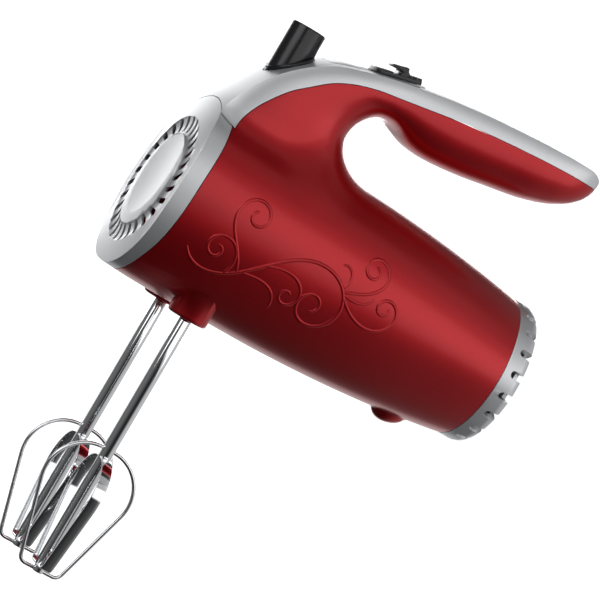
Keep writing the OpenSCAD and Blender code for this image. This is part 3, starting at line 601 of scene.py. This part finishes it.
def noise_node(tree, scale, detail):
    """Noise over the object's own coordinates."""
    where = tree.nodes.new("ShaderNodeTexCoord")
    made = tree.nodes.new("ShaderNodeTexNoise")
    made.inputs["Scale"].default_value = scale
    made.inputs["Detail"].default_value = detail
    tree.links.new(where.outputs["Object"], made.inputs["Vector"])
    return made


def grain(m, scale, depth, detail=2.0, spread=0.0):
    """A fine procedural surface: bump from noise, and a little spread in the roughness."""
    tree = m.node_tree
    node, link = tree.nodes.new, tree.links.new
    shader = tree.nodes["Principled BSDF"]
    bump = node("ShaderNodeBump")
    bump.inputs["Distance"].default_value = depth
    bump.inputs["Strength"].default_value = 1.0
    link(noise_node(tree, scale, detail).outputs["Fac"], bump.inputs["Height"])
    link(bump.outputs[0], shader.inputs["Normal"])
    if spread:
        rough = shader.inputs["Roughness"].default_value
        limits = node("ShaderNodeMapRange")
        limits.inputs["To Min"].default_value = rough - spread
        limits.inputs["To Max"].default_value = rough + spread
        link(noise_node(tree, 35, 3).outputs["Fac"], limits.inputs["Value"])
        link(limits.outputs[0], shader.inputs["Roughness"])
    return m


def vary(m, dark, light, scale, detail=2.0):
    """Colour that shifts a little between two tones."""
    tree, link = m.node_tree, m.node_tree.links.new
    ramp = tree.nodes.new("ShaderNodeValToRGB")
    for stop, colour, position in zip(ramp.color_ramp.elements, (dark, light), (0.35, 0.65)):
        stop.color, stop.position = (*colour, 1), position
    link(noise_node(tree, scale, detail).outputs["Fac"], ramp.inputs["Fac"])
    link(ramp.outputs["Color"], tree.nodes["Principled BSDF"].inputs["Base Color"])
    return m


def candy_red():
    m = new_material("candy_red_paint", (0.47, 0.004, 0.010), 0.40, 0.8,
                     Coat_Weight=0.5, Coat_Roughness=0.2)
    vary(m, (0.42, 0.003, 0.007), (0.53, 0.006, 0.013), 9000, 1.0)
    return grain(m, 6500, 0.000003, 1.0)


def satin_silver():
    m = new_material("satin_silver_paint", (0.72, 0.73, 0.75), 0.42, 0.75, Coat_Weight=0.2,
                     Coat_Roughness=0.3)
    vary(m, (0.68, 0.69, 0.71), (0.77, 0.78, 0.80), 9000, 1.0)
    return grain(m, 7000, 0.000003, 1.0, spread=0.02)


# A dark matte moulding for cut and inner faces: partly the unpainted plastic, partly painted shade
# that darkens the seam gaps
def moulding_and_seam_shade_finish(name, base):
    return grain(new_material(name, base, 0.55), 900, 0.00002)


def satin_black():
    m = new_material("satin_black_plastic", (0.010, 0.010, 0.012), 0.24)
    vary(m, (0.008, 0.008, 0.010), (0.013, 0.013, 0.016), 600)
    return grain(m, 2600, 0.000012, 2.0, spread=0.04)


def bright_chrome():
    m = new_material("bright_chrome", (0.86, 0.87, 0.89), 0.07, 1.0)
    return grain(m, 900, 0.0000015, 2.0, spread=0.02)


def plain_finish(name, base, rough, metal, scale=700, depth=0.00001):
    tone = [tuple(c * k for c in base) for k in (0.88, 1.1)]
    return grain(vary(new_material(name, base, rough, metal), *tone, 90), scale, depth, spread=0.04)


red_paint, silver_paint = candy_red(), satin_silver()
# Near-black tones for material 1 (cut and inner faces): unpainted moulding, darkened further as
# painted shade in the seams between mouldings and behind the vents
red_moulding_and_seam_shade = moulding_and_seam_shade_finish("raw_red_moulding_painted_seam_shade", (0.035, 0.004, 0.005))
grey_moulding_and_seam_shade = moulding_and_seam_shade_finish("raw_grey_moulding_painted_seam_shade", (0.05, 0.05, 0.054))
satin_black_paint, chrome_plate = satin_black(), bright_chrome()
form = BodyForm(1.25)


# ---- Casing ----
def casing_shell():
    """The hollow casing before it is shared out between its mouldings."""
    shell = mark_all(form.skin("shell"), 0)
    carve(shell, outline_slab("outline", crown=0.7), "INTERSECT")
    hollow = mark_all(form.skin("hollow", WALL, 2), 1)
    carve(hollow, outline_slab("inner_outline", WALL), "INTERSECT")
    return combine(shell, hollow)


def main_housing(shell):
    o = copy_of(shell, "main_housing_skin")
    carve(o, grille_slab("grille_zone", SEAM))
    carve(o, cover_slab("cover_zone", SEAM))
    rear, seat = CAP_X - SEAM, CAP_X - SPIGOT_L - 1
    carve(o, cylinder("rear_cut", 90, 0, 260 - rear, (rear, 0, 0), ALONG))
    carve(o, cylinder("spigot_seat", REAR_R - WALL, 0, CAP_X + 20 - seat, (seat, 0, 0), ALONG))
    for side in (-1, 1):
        spindle = (BEATER_X, side * BEATER_Y, 0)
        carve(o, turned("boss", BOSS, spindle, UP, 96, closed=False), "UNION", 0)
        for r, top in ((5.8, -20), (7.6, -48.6)):
            carve(o, cylinder("spindle_hole", r, -60, top, spindle, UP, 48))
    carve(o, cylinder("gland_hole", 5.4, -22, 18, GLAND_AT, GLAND_WAY, 48))
    form.soft_normals(o)
    return finish_piece(o, "casing", "casing_red", [red_paint, red_moulding_and_seam_shade], "main_housing")


def rounded_box(width, height, r, middle=(0, 0), steps=5):
    """Outline of a rectangle with round corners."""
    points = []
    for k, (sx, sy) in enumerate(((1, 1), (-1, 1), (-1, -1), (1, -1))):
        for i in range(steps + 1):
            a = math.radians(90 * k + 90 * i / steps)
            points.append((middle[0] + sx * (width / 2 - r) + r * math.cos(a),
                           middle[1] + sy * (height / 2 - r) + r * math.sin(a)))
    return points


def capsule(length, width, turn=0.0, middle=(0, 0), sides=8, taper=1.0):
    """Outline of a slot with round ends, along the second axis before it is turned."""
    points = []
    for end, share in ((1, 1.0), (-1, taper)):
        r = width / 2 * share
        for i in range(sides + 1):
            a = math.radians(180 * i / sides) + (0 if end > 0 else math.pi)
            u, v = r * math.cos(a), end * (length / 2 - r) + r * math.sin(a)
            points.append((middle[0] + u * math.cos(turn) - v * math.sin(turn),
                           middle[1] + u * math.sin(turn) + v * math.cos(turn)))
    return points


def front_grille(shell):
    o = copy_of(shell, "front_grille_skin")
    carve(o, grille_slab("grille_zone", 0), "INTERSECT")
    # The channel that holds the vents, and the slightly dished disc inside it
    channel = [(30.7 + 5.3 * math.cos(a), 1.9 * math.sin(a) - 0.1)
               for a in np.linspace(0, math.pi, 19)] + [(25.4, -4), (36.0, -4)]
    carve(o, turned("channel", channel, (FACE_X, 0, 0), FACE_WAY, 144), index=0)
    dish = [(24.9 * s, 0.75 * (1 - s**2) + 0.12 * (1 - s)) for s in np.linspace(0, 1, 14)]
    dish += [(24.9, -4), (0, -4)]
    carve(o, turned("dish", dish, (FACE_X, 0, 0), FACE_WAY, 144, closed=False), index=0)
    slot = capsule(9.8, 3.3, math.radians(-19), (0, 0.2), taper=0.8)
    carve(o, ring_of("vents", extruded("vent_tool", slot, -6, 12, "x"), 28, 30.6), index=0)
    form.soft_normals(o, 40)
    return finish_piece(o, "casing", "silver_trim", [silver_paint, grey_moulding_and_seam_shade], "front_grille")


def rear_cap():
    inside = REAR_R - WALL - SEAM
    round_r, round_l = REAR_R - HEEL_R, 4.55
    outer = [(inside - 1.8, -SPIGOT_L), (inside, -SPIGOT_L), (inside, 0), (REAR_R - 0.25, 0),
             (REAR_R - 0.03, 0.25)]
    outer += [(HEEL_R + round_r * math.cos(a), CAP_L - round_l + round_l * math.sin(a))
              for a in np.linspace(0, math.pi / 2, 9)]
    outer += [(HEEL_R - 3, CAP_L), (HEEL_R - 3.6, CAP_L - 0.35), (0, CAP_L - 0.35),
              (0, CAP_L - WALL), (inside - 2.6, CAP_L - WALL), (inside - 1.8, CAP_L - WALL - 2)]
    o = turned("rear_cap_skin", outer, (CAP_X, 0, 0), ALONG, 160)
    notch = [(CAP_L / 2 + 2 * (1 - math.sin(a)) - 2.0, 2.0 * math.cos(a))
             for a in np.linspace(0, math.pi, 11)]
    notch = [(CAP_X + x, y) for x, y in notch + [(30, -2.0), (30, 2.0)]]
    tool = extruded("notch_tool", notch, HEEL_R - 4.5, 46, "z")
    combine(o, ring_of("notches", tool, 20, 0.0, 0.5))
    soften(o, 0.28, 2, 40)
    shade(o, 30)
    return finish_piece(o, "casing", "silver_trim", silver_paint, "rear_cap")


# ---- Controls ----
def button_well(name, r):
    return cylinder(name, r, 40, 140, (EJECT_X, 0, 0), UP, 72)


def bezel_blank(name, grow):
    """The bezel's disc, square to the cover's slope, or the larger seat cut out for it."""
    slope = math.atan2(rim_z(EJECT_X + 4) - rim_z(EJECT_X - 4), 8)
    lean = (-math.sin(slope), 0, math.cos(slope))
    r = EJECT_R + 3.2 + grow
    profile = [(0, -0.6), (r, -0.6), (r, 0.55), (r - 0.25, 0.85), (r - 0.7, 1.0), (0, 1.0)]
    if grow:
        profile = [(0, -0.6 - grow), (r, -0.6 - grow), (r, 12), (0, 12)]
    return turned(name, profile, (EJECT_X, 0, rim_z(EJECT_X) + 0.3), lean, 96, closed=False)


def eject_bezel():
    o = bezel_blank("eject_bezel_ring", 0)
    combine(o, button_well("bore", EJECT_R + 0.3))
    soften(o, 0.2, 2, 40)
    shade(o, 30)
    return finish_piece(o, "casing", "black_controls", satin_black_paint, "eject_bezel")


def eject_button():
    r, top = EJECT_R, 46.0
    profile = [(5.05, 0), (r - 0.4, 0), (r, 0.4), (r, top - 0.9), (r - 0.1, top - 0.45),
               (r - 0.35, top - 0.15), (r - 0.8, top), (r - 1.5, top - 0.05), (r - 2.1, top - 0.35),
               (r - 4, top - 0.6), (0, top - 0.75), (0, 14), (5.05, 14)]
    o = turned("eject_button_cap", profile, (EJECT_X, 0, EJECT_TOP - top), UP, 96)
    shade(o, 35)
    return finish_piece(o, "eject", "black_controls", satin_black_paint, "eject_button")


def slide_frame():
    """The slider's own frame: its origin is on the plate's top, x runs back along the slide."""
    origin = Matrix.Translation((SLIDE_X, 0, rim_z(SLIDE_X) + 0.35))
    return origin @ Matrix.Rotation(-SLIDE_LEAN, 4, "Y")


def on_slide(x, z):
    """The (x, z) place in the working pose of a point in the slider's frame."""
    p = slide_frame() @ Vector((x, 0, z))
    return p.x, p.z


def plate_blank(name, grow):
    """The inlay under the slider, or the larger seat cut out for it."""
    front, rim = PLATE_X - grow, rim_z(PLATE_X)
    top = [(front, rim + 0.1), on_slide(-26, -0.4), on_slide(15 + grow, -0.5)]
    low = [on_slide(15 + grow, -2 - grow), on_slide(-26, -2 - grow), (front, rim - 1 - grow)]
    if grow:
        top = [(x, z + 6) for x, z in top]
    o = extruded(name, top + low, -10 - grow, 10 + grow)
    reach = on_slide(15, 0)[0] - PLATE_X
    plan = rounded_box(reach + 2 * grow, 20 + 2 * grow, 5, (PLATE_X + reach / 2, 0), 6)
    return combine(o, extruded("plate_plan", plan, 60, 140, "z"), "INTERSECT")


def slider_slot():
    o = extruded("slider_slot", capsule(24, 6, math.pi / 2, (-7, 0)), -14, 6, "z")
    o.data.transform(slide_frame())
    return o


def switch_plate():
    o = combine(plate_blank("switch_plate_inlay", 0), slider_slot())
    soften(o, 0.45, 3, 50)
    shade(o, 30)
    return finish_piece(o, "casing", "silver_trim", silver_paint, "switch_plate")


def handle_cover(shell):
    o = copy_of(shell, "handle_cover_skin")
    carve(o, cover_slab("cover_zone", 0), "INTERSECT")
    for tool in (button_well("well", EJECT_R + 0.6), bezel_blank("bezel_seat", SEAM),
                 plate_blank("plate_seat", SEAM), slider_slot()):
        carve(o, tool)
    form.soft_normals(o)
    return finish_piece(o, "casing", "silver_trim", [silver_paint, grey_moulding_and_seam_shade], "handle_cover")


def speed_slider():
    half_w, lift = 8.5, 0.3
    o = extruded("speed_slider_thumb", rounded_box(24, 17, 2.2), lift - 0.55, lift + 1.3, "z")
    ridges = [(-10.6 + 2.2 * i, 1.1, 1.95) for i in range(4)]
    ridges += [(10.8 - 2.5 * i, 1.3, 2.5) for i in range(3)]
    for x, wide, high in ridges:
        shape = [(x - wide / 2, lift + 0.8), (x + wide / 2, lift + 0.8),
                 (x + wide / 2 - 0.15, lift + high), (x - wide / 2 + 0.15, lift + high)]
        combine(o, extruded("ridge", shape, -half_w + 0.9, half_w - 0.9), "UNION")
    # The thumb lever: a hollow in front, a lip that leans forward and a slope behind
    lever = smooth_line([(-1.2, 1.0), (0.9, 2.0), (1.3, 3.0), (0.2, 3.9), (-1.8, 4.1)], 6)
    lever = [tuple(p) for p in lever] + [
        (-2.9, 4.3), (-3.2, 5.3), (-2.6, 5.9), (-1.6, 6.0), (2.0, 5.9), (3.6, 6.1), (4.4, 5.6),
        (4.5, 4.2), (5.6, 3.0), (7.8, 2.4), (9.6, 1.0)]
    combine(o, extruded("lever", lever, -5.4, 5.4), "UNION")
    combine(o, extruded("tongue", rounded_box(6, 5.2, 0.6), -6.2, 1.0, "z"), "UNION")
    soften(o, 0.22, 2, 38)
    o.data.transform(slide_frame())
    shade(o, 30)
    return finish_piece(o, "slider", "black_controls", satin_black_paint, "speed_slider")


# ---- Beaters ----
def half_loop(w, top, bottom, lean=16, corner=4.0):
    """One side of a beater loop: a large arc, a straight that leans inwards and a small corner."""
    r = 20.2 * w / 23.1
    a = math.radians(lean)
    c = np.array([w - r, top - r])
    p = c + r * np.array([math.cos(a), -math.sin(a)])
    d, n = np.array([-math.sin(a), -math.cos(a)]), np.array([-math.cos(a), math.sin(a)])
    t = (p[1] + corner * n[1] - bottom - corner) / math.cos(a)
    k = p + d * t + n * corner

    def arc(centre, radius, a0, a1, count):
        return [centre + radius * np.array([math.cos(b), math.sin(b)])
                for b in np.radians(np.linspace(a0, a1, count))]

    flat = [np.array([s * (w - r), top]) for s in (0, 0.5)] if w > r else []
    down = [p + d * t * s for s in (0.25, 0.5, 0.75)]
    side = arc(c, r, 90, -lean, 26) + down + arc(k, corner, -lean, -90, 10)
    return flat + side + [np.array([0, bottom])]


def whole_loop(w, top, bottom):
    half = half_loop(w, top, bottom)
    return half + [np.array([-p[0], p[1]]) for p in half[-2:0:-1]]


def beater(side, name):
    spot = Matrix.Translation((BEATER_X, side * BEATER_Y, 0))
    rod = [(0, -190), (2.3, -190), (2.75, -189.5), (2.75, -186.6), (SHAFT_R, -186), (SHAFT_R, 11),
           (SHAFT_R - 0.8, 12), (0, 12)]
    shaft = turned(f"beater_rod_{name}", rod, (0, 0, 0), UP, 40, closed=False)
    wire_path = [(p[0], 0, p[1]) for p in whole_loop(23.1, -122.5, -188.8)]
    wire = swept(f"beater_round_loop_{name}", wire_path, circle_points(0.95, 14), (0, 1, 0))
    blade_path = [(0, p[0], p[1]) for p in whole_loop(21.58, -127.0, -186.4)]
    strip = rounded_box(1.0, 5.6, 0.32, (0, 0), 3)
    blade = swept(f"beater_flat_loop_{name}", blade_path, strip, ALONG)
    for o, node_name in ((shaft, "shaft"), (wire, "wire"), (blade, "blade")):
        o.data.transform(spot)
        shade(o, 40)
        finish_piece(o, f"beater_{name}", "beater_chrome", chrome_plate,
                     f"beater_{node_name}_{name}")


def cord_gland():
    profile = [(3.65, -7.5), (5.2, -7.5), (5.2, -0.1), (5.0, 0.3), (4.5, 0.4), (4.1, 0.4),
               (3.65, 0.05)]
    o = turned("cord_gland_bush", profile, GLAND_AT, GLAND_WAY, 56)
    shade(o, 35)
    return finish_piece(o, "casing", "cord_rubber", inner["cord_rubber"], "cord_gland")


# ---- Raised scrolls on both sides of the barrel ----
# Radius of a strand and how far it stands proud of the paint
STRAND, STAND = 1.3, 0.43
# Share of that radius at shares of a strand's length
TAPER = [(0, 0.25), (0.12, 0.9), (0.6, 1.0), (0.9, 0.85), (1, 0.35)]
# Each: the strand it grows from and how far along it, or none and the start; its heading in
# degrees, counted from that strand; runs of (length, turn in degrees); and its width
SCROLLS = [
    (None, (21.5, -18.5), -62, [(12, 64), (26, 50), (30, -34), (26, -82), (25, -100), (18, -112),
                                (12, -120), (8, -130)], 1.0),
    (0, 0.20, 68, [(13, 34), (12, -10), (17, -110), (15, -115), (10, -120), (6, -120)], 0.95),
    (0, 0.155, 30, [(10, 40), (14, 90), (12, 110), (8, 120), (5, 120)], 0.9),
    (0, 0.215, -35, [(10, 12), (10, -60), (7, -50)], 0.8),
    (0, 0.29, -22, [(12, -10), (12, -60), (12, -110), (8, -120), (5, -120)], 0.9),
    (0, 0.585, 72, [(12, -8), (12, 62), (14, 110), (11, 115), (8, 120), (5, 110)], 0.95),
    (0, 0.60, 16, [(14, 16), (15, 62), (15, 95), (10, 110), (7, 120), (5, 110)], 0.95),
    (0, 0.59, 40, [(8, 10), (6, 36), (4, 40)], 0.8),
    (0, 0.575, 100, [(6, 30), (6, 60), (4, 60)], 0.75),
]


def scroll_line(start, heading, runs, step=0.8):
    """A line whose bend changes smoothly from run to run, as (x, z) points."""
    bends = [math.radians(turn) / length for length, turn in runs]
    place, angle = np.array(start, float), math.radians(heading)
    points = [place.copy()]
    for k, (length, _) in enumerate(runs):
        count = max(int(length / step), 4)
        before = bends[k] if k == 0 else (bends[k - 1] + bends[k]) / 2
        after = bends[k] if k == len(runs) - 1 else (bends[k] + bends[k + 1]) / 2
        for i in range(count):
            share = (i + 0.5) / count
            bend = before + (after - before) * share
            angle += bend * length / count
            place = place + np.array([math.cos(angle), math.sin(angle)]) * length / count
            points.append(place.copy())
    return np.array(points)


def on_side(points, side):
    """Lifts (x, z) points onto the barrel's surface on one side, with the surface's normals."""
    n = len(points)
    low, high = np.full(n, 5.0), np.full(n, 48.5)
    for _ in range(22):
        middle = (low + high) / 2
        here = np.stack([points[:, 0], side * middle, points[:, 1]], -1)
        outside = form.sample(form.field, here) > 0
        high, low = np.where(outside, middle, high), np.where(outside, low, middle)
    here = np.stack([points[:, 0], side * (low + high) / 2, points[:, 1]], -1)
    normal = form.sample(form.slope, here)
    return here, normal / np.linalg.norm(normal, axis=1)[:, None]


def scroll_tree(material):
    """Geometry Nodes that turn lines into thin raised strands, thick in the middle."""
    tree, source, sink, keys = node_group("raised_strands", Strand_Radius="Float", Sides="Int")
    node, link = tree.nodes.new, tree.links.new
    curve = node("GeometryNodeMeshToCurve")
    share = node("GeometryNodeSplineParameter")
    taper = node("ShaderNodeFloatCurve")
    points = taper.mapping.curves[0].points
    points[0].location, points[1].location = TAPER[0], TAPER[-1]
    for spot in TAPER[1:-1]:
        points.new(*spot)
    taper.mapping.update()
    width = node("GeometryNodeInputNamedAttribute")
    width.data_type = "FLOAT"
    width.inputs["Name"].default_value = "width"
    thick = math_node(tree, "MULTIPLY")
    scaled = math_node(tree, "MULTIPLY")
    set_r = node("GeometryNodeSetCurveRadius")
    ring = node("GeometryNodeCurvePrimitiveCircle")
    sweep = node("GeometryNodeCurveToMesh")
    sweep.inputs["Fill Caps"].default_value = True
    real = node("GeometryNodeRealizeInstances")
    paint = node("GeometryNodeSetMaterial")
    paint.inputs["Material"].default_value = material
    link(source.outputs["Geometry"], curve.inputs["Mesh"])
    link(share.outputs["Factor"], taper.inputs["Value"])
    link(taper.outputs[0], thick.inputs[0])
    link(width.outputs[0], thick.inputs[1])
    link(thick.outputs[0], scaled.inputs[0])
    link(source.outputs["Strand Radius"], scaled.inputs[1])
    link(curve.outputs[0], set_r.inputs["Curve"])
    link(scaled.outputs[0], set_r.inputs["Radius"])
    ring.inputs["Radius"].default_value = 1.0
    link(source.outputs["Sides"], ring.inputs["Resolution"])
    link(set_r.outputs[0], sweep.inputs["Curve"])
    link(ring.outputs["Curve"], sweep.inputs["Profile Curve"])
    if "Scale" in sweep.inputs:
        link(scaled.outputs[0], sweep.inputs["Scale"])
    link(sweep.outputs[0], real.inputs[0])
    link(real.outputs[0], paint.inputs["Geometry"])
    link(paint.outputs[0], sink.inputs[0])
    return tree, keys


def raised_scrolls():
    tree, keys = scroll_tree(red_paint)
    verts, edges, widths, lines = [], [], [], []
    for parent, start, heading, runs, width in SCROLLS:
        if parent is not None:
            grown = lines[parent][0]
            i = int(start * (len(grown) - 1))
            start, way = grown[i], grown[i + 1] - grown[i]
            heading += math.degrees(math.atan2(way[1], way[0]))
        lines.append((scroll_line(start, heading, runs), width))
    for side in (-1, 1):
        for line, width in lines:
            place, normal = on_side(line, side)
            share = np.linspace(0, 1, len(line))
            slim = np.interp(share, *zip(*TAPER)) * width
            sunk = place + normal * (STAND * slim - STRAND * slim)[:, None]
            edges += [(len(verts) + i, len(verts) + i + 1) for i in range(len(line) - 1)]
            verts += [tuple(p) for p in sunk]
            widths += [width] * len(line)
    mesh = bpy.data.meshes.new("raised_scrolls")
    mesh.from_pydata(verts, edges, [])
    mesh.attributes.new("width", "FLOAT", "POINT").data.foreach_set("value", widths)
    o = new_object("raised_scrolls", mesh)
    grow = o.modifiers.new("strands", "NODES")
    grow.node_group = tree
    grow[keys[0]], grow[keys[1]] = STRAND, 10
    settle(o)
    shade(outwards(o), 60)
    return finish_piece(o, "casing", "casing_red", red_paint)


# ---- Pieces inside the casing ----
# By material slot: the finish's name, colour, roughness, metal and the scale of its grain
INNER_LOOKS = {
    "plain_steel": ("machined_steel", (0.55, 0.56, 0.58), 0.3, 1.0),
    "lamination_steel": ("lamination_steel", (0.30, 0.30, 0.32), 0.45, 0.9),
    "bronze": ("sintered_bronze", (0.50, 0.31, 0.14), 0.5, 0.9),
    "copper": ("enamelled_copper", (0.55, 0.19, 0.06), 0.3, 0.9, 300),
    "nylon": ("natural_nylon", (0.72, 0.70, 0.62), 0.45, 0.0),
    "board_green": ("board_green", (0.02, 0.13, 0.05), 0.4, 0.0),
    "capacitor_case": ("capacitor_case", (0.62, 0.36, 0.05), 0.4, 0.0),
    "cord_rubber": ("cord_rubber", (0.02, 0.02, 0.022), 0.6, 0.0),
}
INNER_NODES = {
    "plain_steel": ["detent_spring", "front_motor_bracket", "rear_motor_bracket",
                    "brush_springs", "gear_frame_screws", "frame_cover_screws", "motor_screws",
                    "motor_shaft", "worm", "spindle_left", "spindle_right", "beater_clip_left",
                    "beater_clip_right", "eject_spring"],
    "lamination_steel": ["stator_core", "armature_core"],
    "bronze": ["front_bush", "middle_bush", "rear_bush", "spindle_bushes", "brush_holders",
               "slider_contact"],
    "copper": ["field_coils", "armature_windings", "commutator"],
    "nylon": ["gear_frame", "gear_frame_cover", "worm_wheel_left", "worm_wheel_right",
              "ejector_fork", "cooling_fan", "cord_clamp"],
    "board_green": ["circuit_board"],
    "capacitor_case": ["suppression_capacitor"],
    "cord_rubber": ["wiring", "carbon_brushes"],
    "black_controls": ["switch_block"],
}

inner = {slot: plain_finish(*look) for slot, look in INNER_LOOKS.items()}
inner["black_controls"] = satin_black_paint
shell = casing_shell()
main_housing(shell)
handle_cover(shell)
front_grille(shell)
discard(shell)
rear_cap()
eject_bezel()
eject_button()
switch_plate()
speed_slider()
beater(1, "left")
beater(-1, "right")
cord_gland()
raised_scrolls()
for finish, names in INNER_NODES.items():
    for name in names:
        node_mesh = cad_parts[name].data
        node_mesh.materials.clear()
        node_mesh.materials.append(inner[finish])


# ---- Stage, lights and camera ----
def build_stage():
    b = bmesh.new()
    bmesh.ops.create_grid(b, x_segments=8, y_segments=8, size=6.0)
    mesh = bpy.data.meshes.new("floor")
    b.to_mesh(mesh)
    b.free()
    floor = new_object("floor", mesh)
    floor.location.z = -0.0004
    floor.visible_glossy = floor.visible_diffuse = floor.visible_shadow = False
    m = new_material("pale_floor", (0.62, 0.62, 0.62), 0.9, Emission_Color=(1, 1, 1, 1),
                     Emission_Strength=0.92)
    mesh.materials.append(grain(m, 40, 0.0002))


# Tone of the room at heights from straight down, -1, to straight up, 1
ROOM_TONES = [(-1, 0.55), (-0.65, 0.42), (-0.42, 0.07), (-0.1, 0.02), (0.2, 0.02), (0.42, 0.05),
              (1, 0.15)]


def build_world():
    """A studio: pale below, dark round the horizon, a little light above, a white backdrop."""
    world = bpy.data.worlds.new("studio")
    bpy.context.scene.world = world
    world.use_nodes = True
    tree = world.node_tree
    node, link = tree.nodes.new, tree.links.new
    room = tree.nodes["Background"]
    way, height = node("ShaderNodeTexCoord"), node("ShaderNodeSeparateXYZ")
    ramp, share = node("ShaderNodeValToRGB"), node("ShaderNodeMapRange")
    share.inputs["From Min"].default_value = -1
    stops = ramp.color_ramp.elements
    while len(stops) < len(ROOM_TONES):
        stops.new(0.5)
    for stop, (z, tone) in zip(stops, ROOM_TONES):
        stop.position, stop.color = (z + 1) / 2, (tone, tone, tone, 1)
    white = node("ShaderNodeBackground")
    white.inputs["Strength"].default_value = 1.05
    path, mix = node("ShaderNodeLightPath"), node("ShaderNodeMixShader")
    link(way.outputs["Generated"], height.inputs[0])
    link(height.outputs["Z"], share.inputs["Value"])
    link(share.outputs[0], ramp.inputs["Fac"])
    link(ramp.outputs["Color"], room.inputs["Color"])
    link(path.outputs["Is Camera Ray"], mix.inputs["Fac"])
    link(room.outputs[0], mix.inputs[1])
    link(white.outputs[0], mix.inputs[2])
    link(mix.outputs[0], tree.nodes["World Output"].inputs["Surface"])


# Soft lights: place, width, height in metres and brightness
AIM = (0, 0, 0.1)
SOFTBOXES = {
    "front_wide": ((0.4, -1.0, -0.2), 1.0, 1.8, 0.42),
    "front_core": ((0.25, -0.98, -0.2), 0.56, 1.8, 0.8),
    "side_fill": ((1.25, -0.7, -0.1), 0.6, 1.6, 0.32),
    "cover_side": ((1.3, -0.25, 0.9), 1.2, 1.4, 0.45),
    "overhead": ((0.6, -0.6, 1.5), 1.1, 1.0, 1.8),
    "back_wide": ((0.2, 1.2, -0.1), 0.6, 1.2, 3.9),
    "back_up": ((-0.1, 1.2, 0.65), 0.7, 0.6, 0.75),
    "back_low": ((-0.5, 1.1, -0.4), 0.8, 0.9, 0.8),
}


def softbox(name, place, width, height, brightness):
    lamp = bpy.data.lights.new(name, "AREA")
    lamp.shape, lamp.size, lamp.size_y = "RECTANGLE", width, height
    lamp.energy = brightness * math.pi * width * height
    made = new_object(name, lamp)
    made.location = place
    made.rotation_mode = "QUATERNION"
    made.rotation_quaternion = (Vector(AIM) - Vector(place)).to_track_quat("-Z", "Y")
    made.visible_camera = False


def build_camera():
    azimuth, elevation, roll = (math.radians(v) for v in (1.5, 19.2, 60))
    target, distance = Vector((-0.0156, 0, 0.1077)), 1.73
    flat = math.cos(elevation)
    back = Vector((math.sin(azimuth) * flat, -math.cos(azimuth) * flat, math.sin(elevation)))
    right = Vector((math.cos(azimuth), math.sin(azimuth), 0))
    up = back.cross(right)
    right, up = (right * math.cos(roll) - up * math.sin(roll),
                 up * math.cos(roll) + right * math.sin(roll))
    lens = bpy.data.cameras.new("camera")
    lens.lens, lens.clip_start = 213, 0.05
    place = Matrix((right, up, back)).transposed().to_4x4()
    place.translation = target + back * distance
    made = new_object("camera", lens)
    made.matrix_world = place
    bpy.context.scene.camera = made


build_stage()
build_world()
for name, light in SOFTBOXES.items():
    softbox(name, *light)
build_camera()
bpy.context.scene.view_settings.view_transform = "Standard"
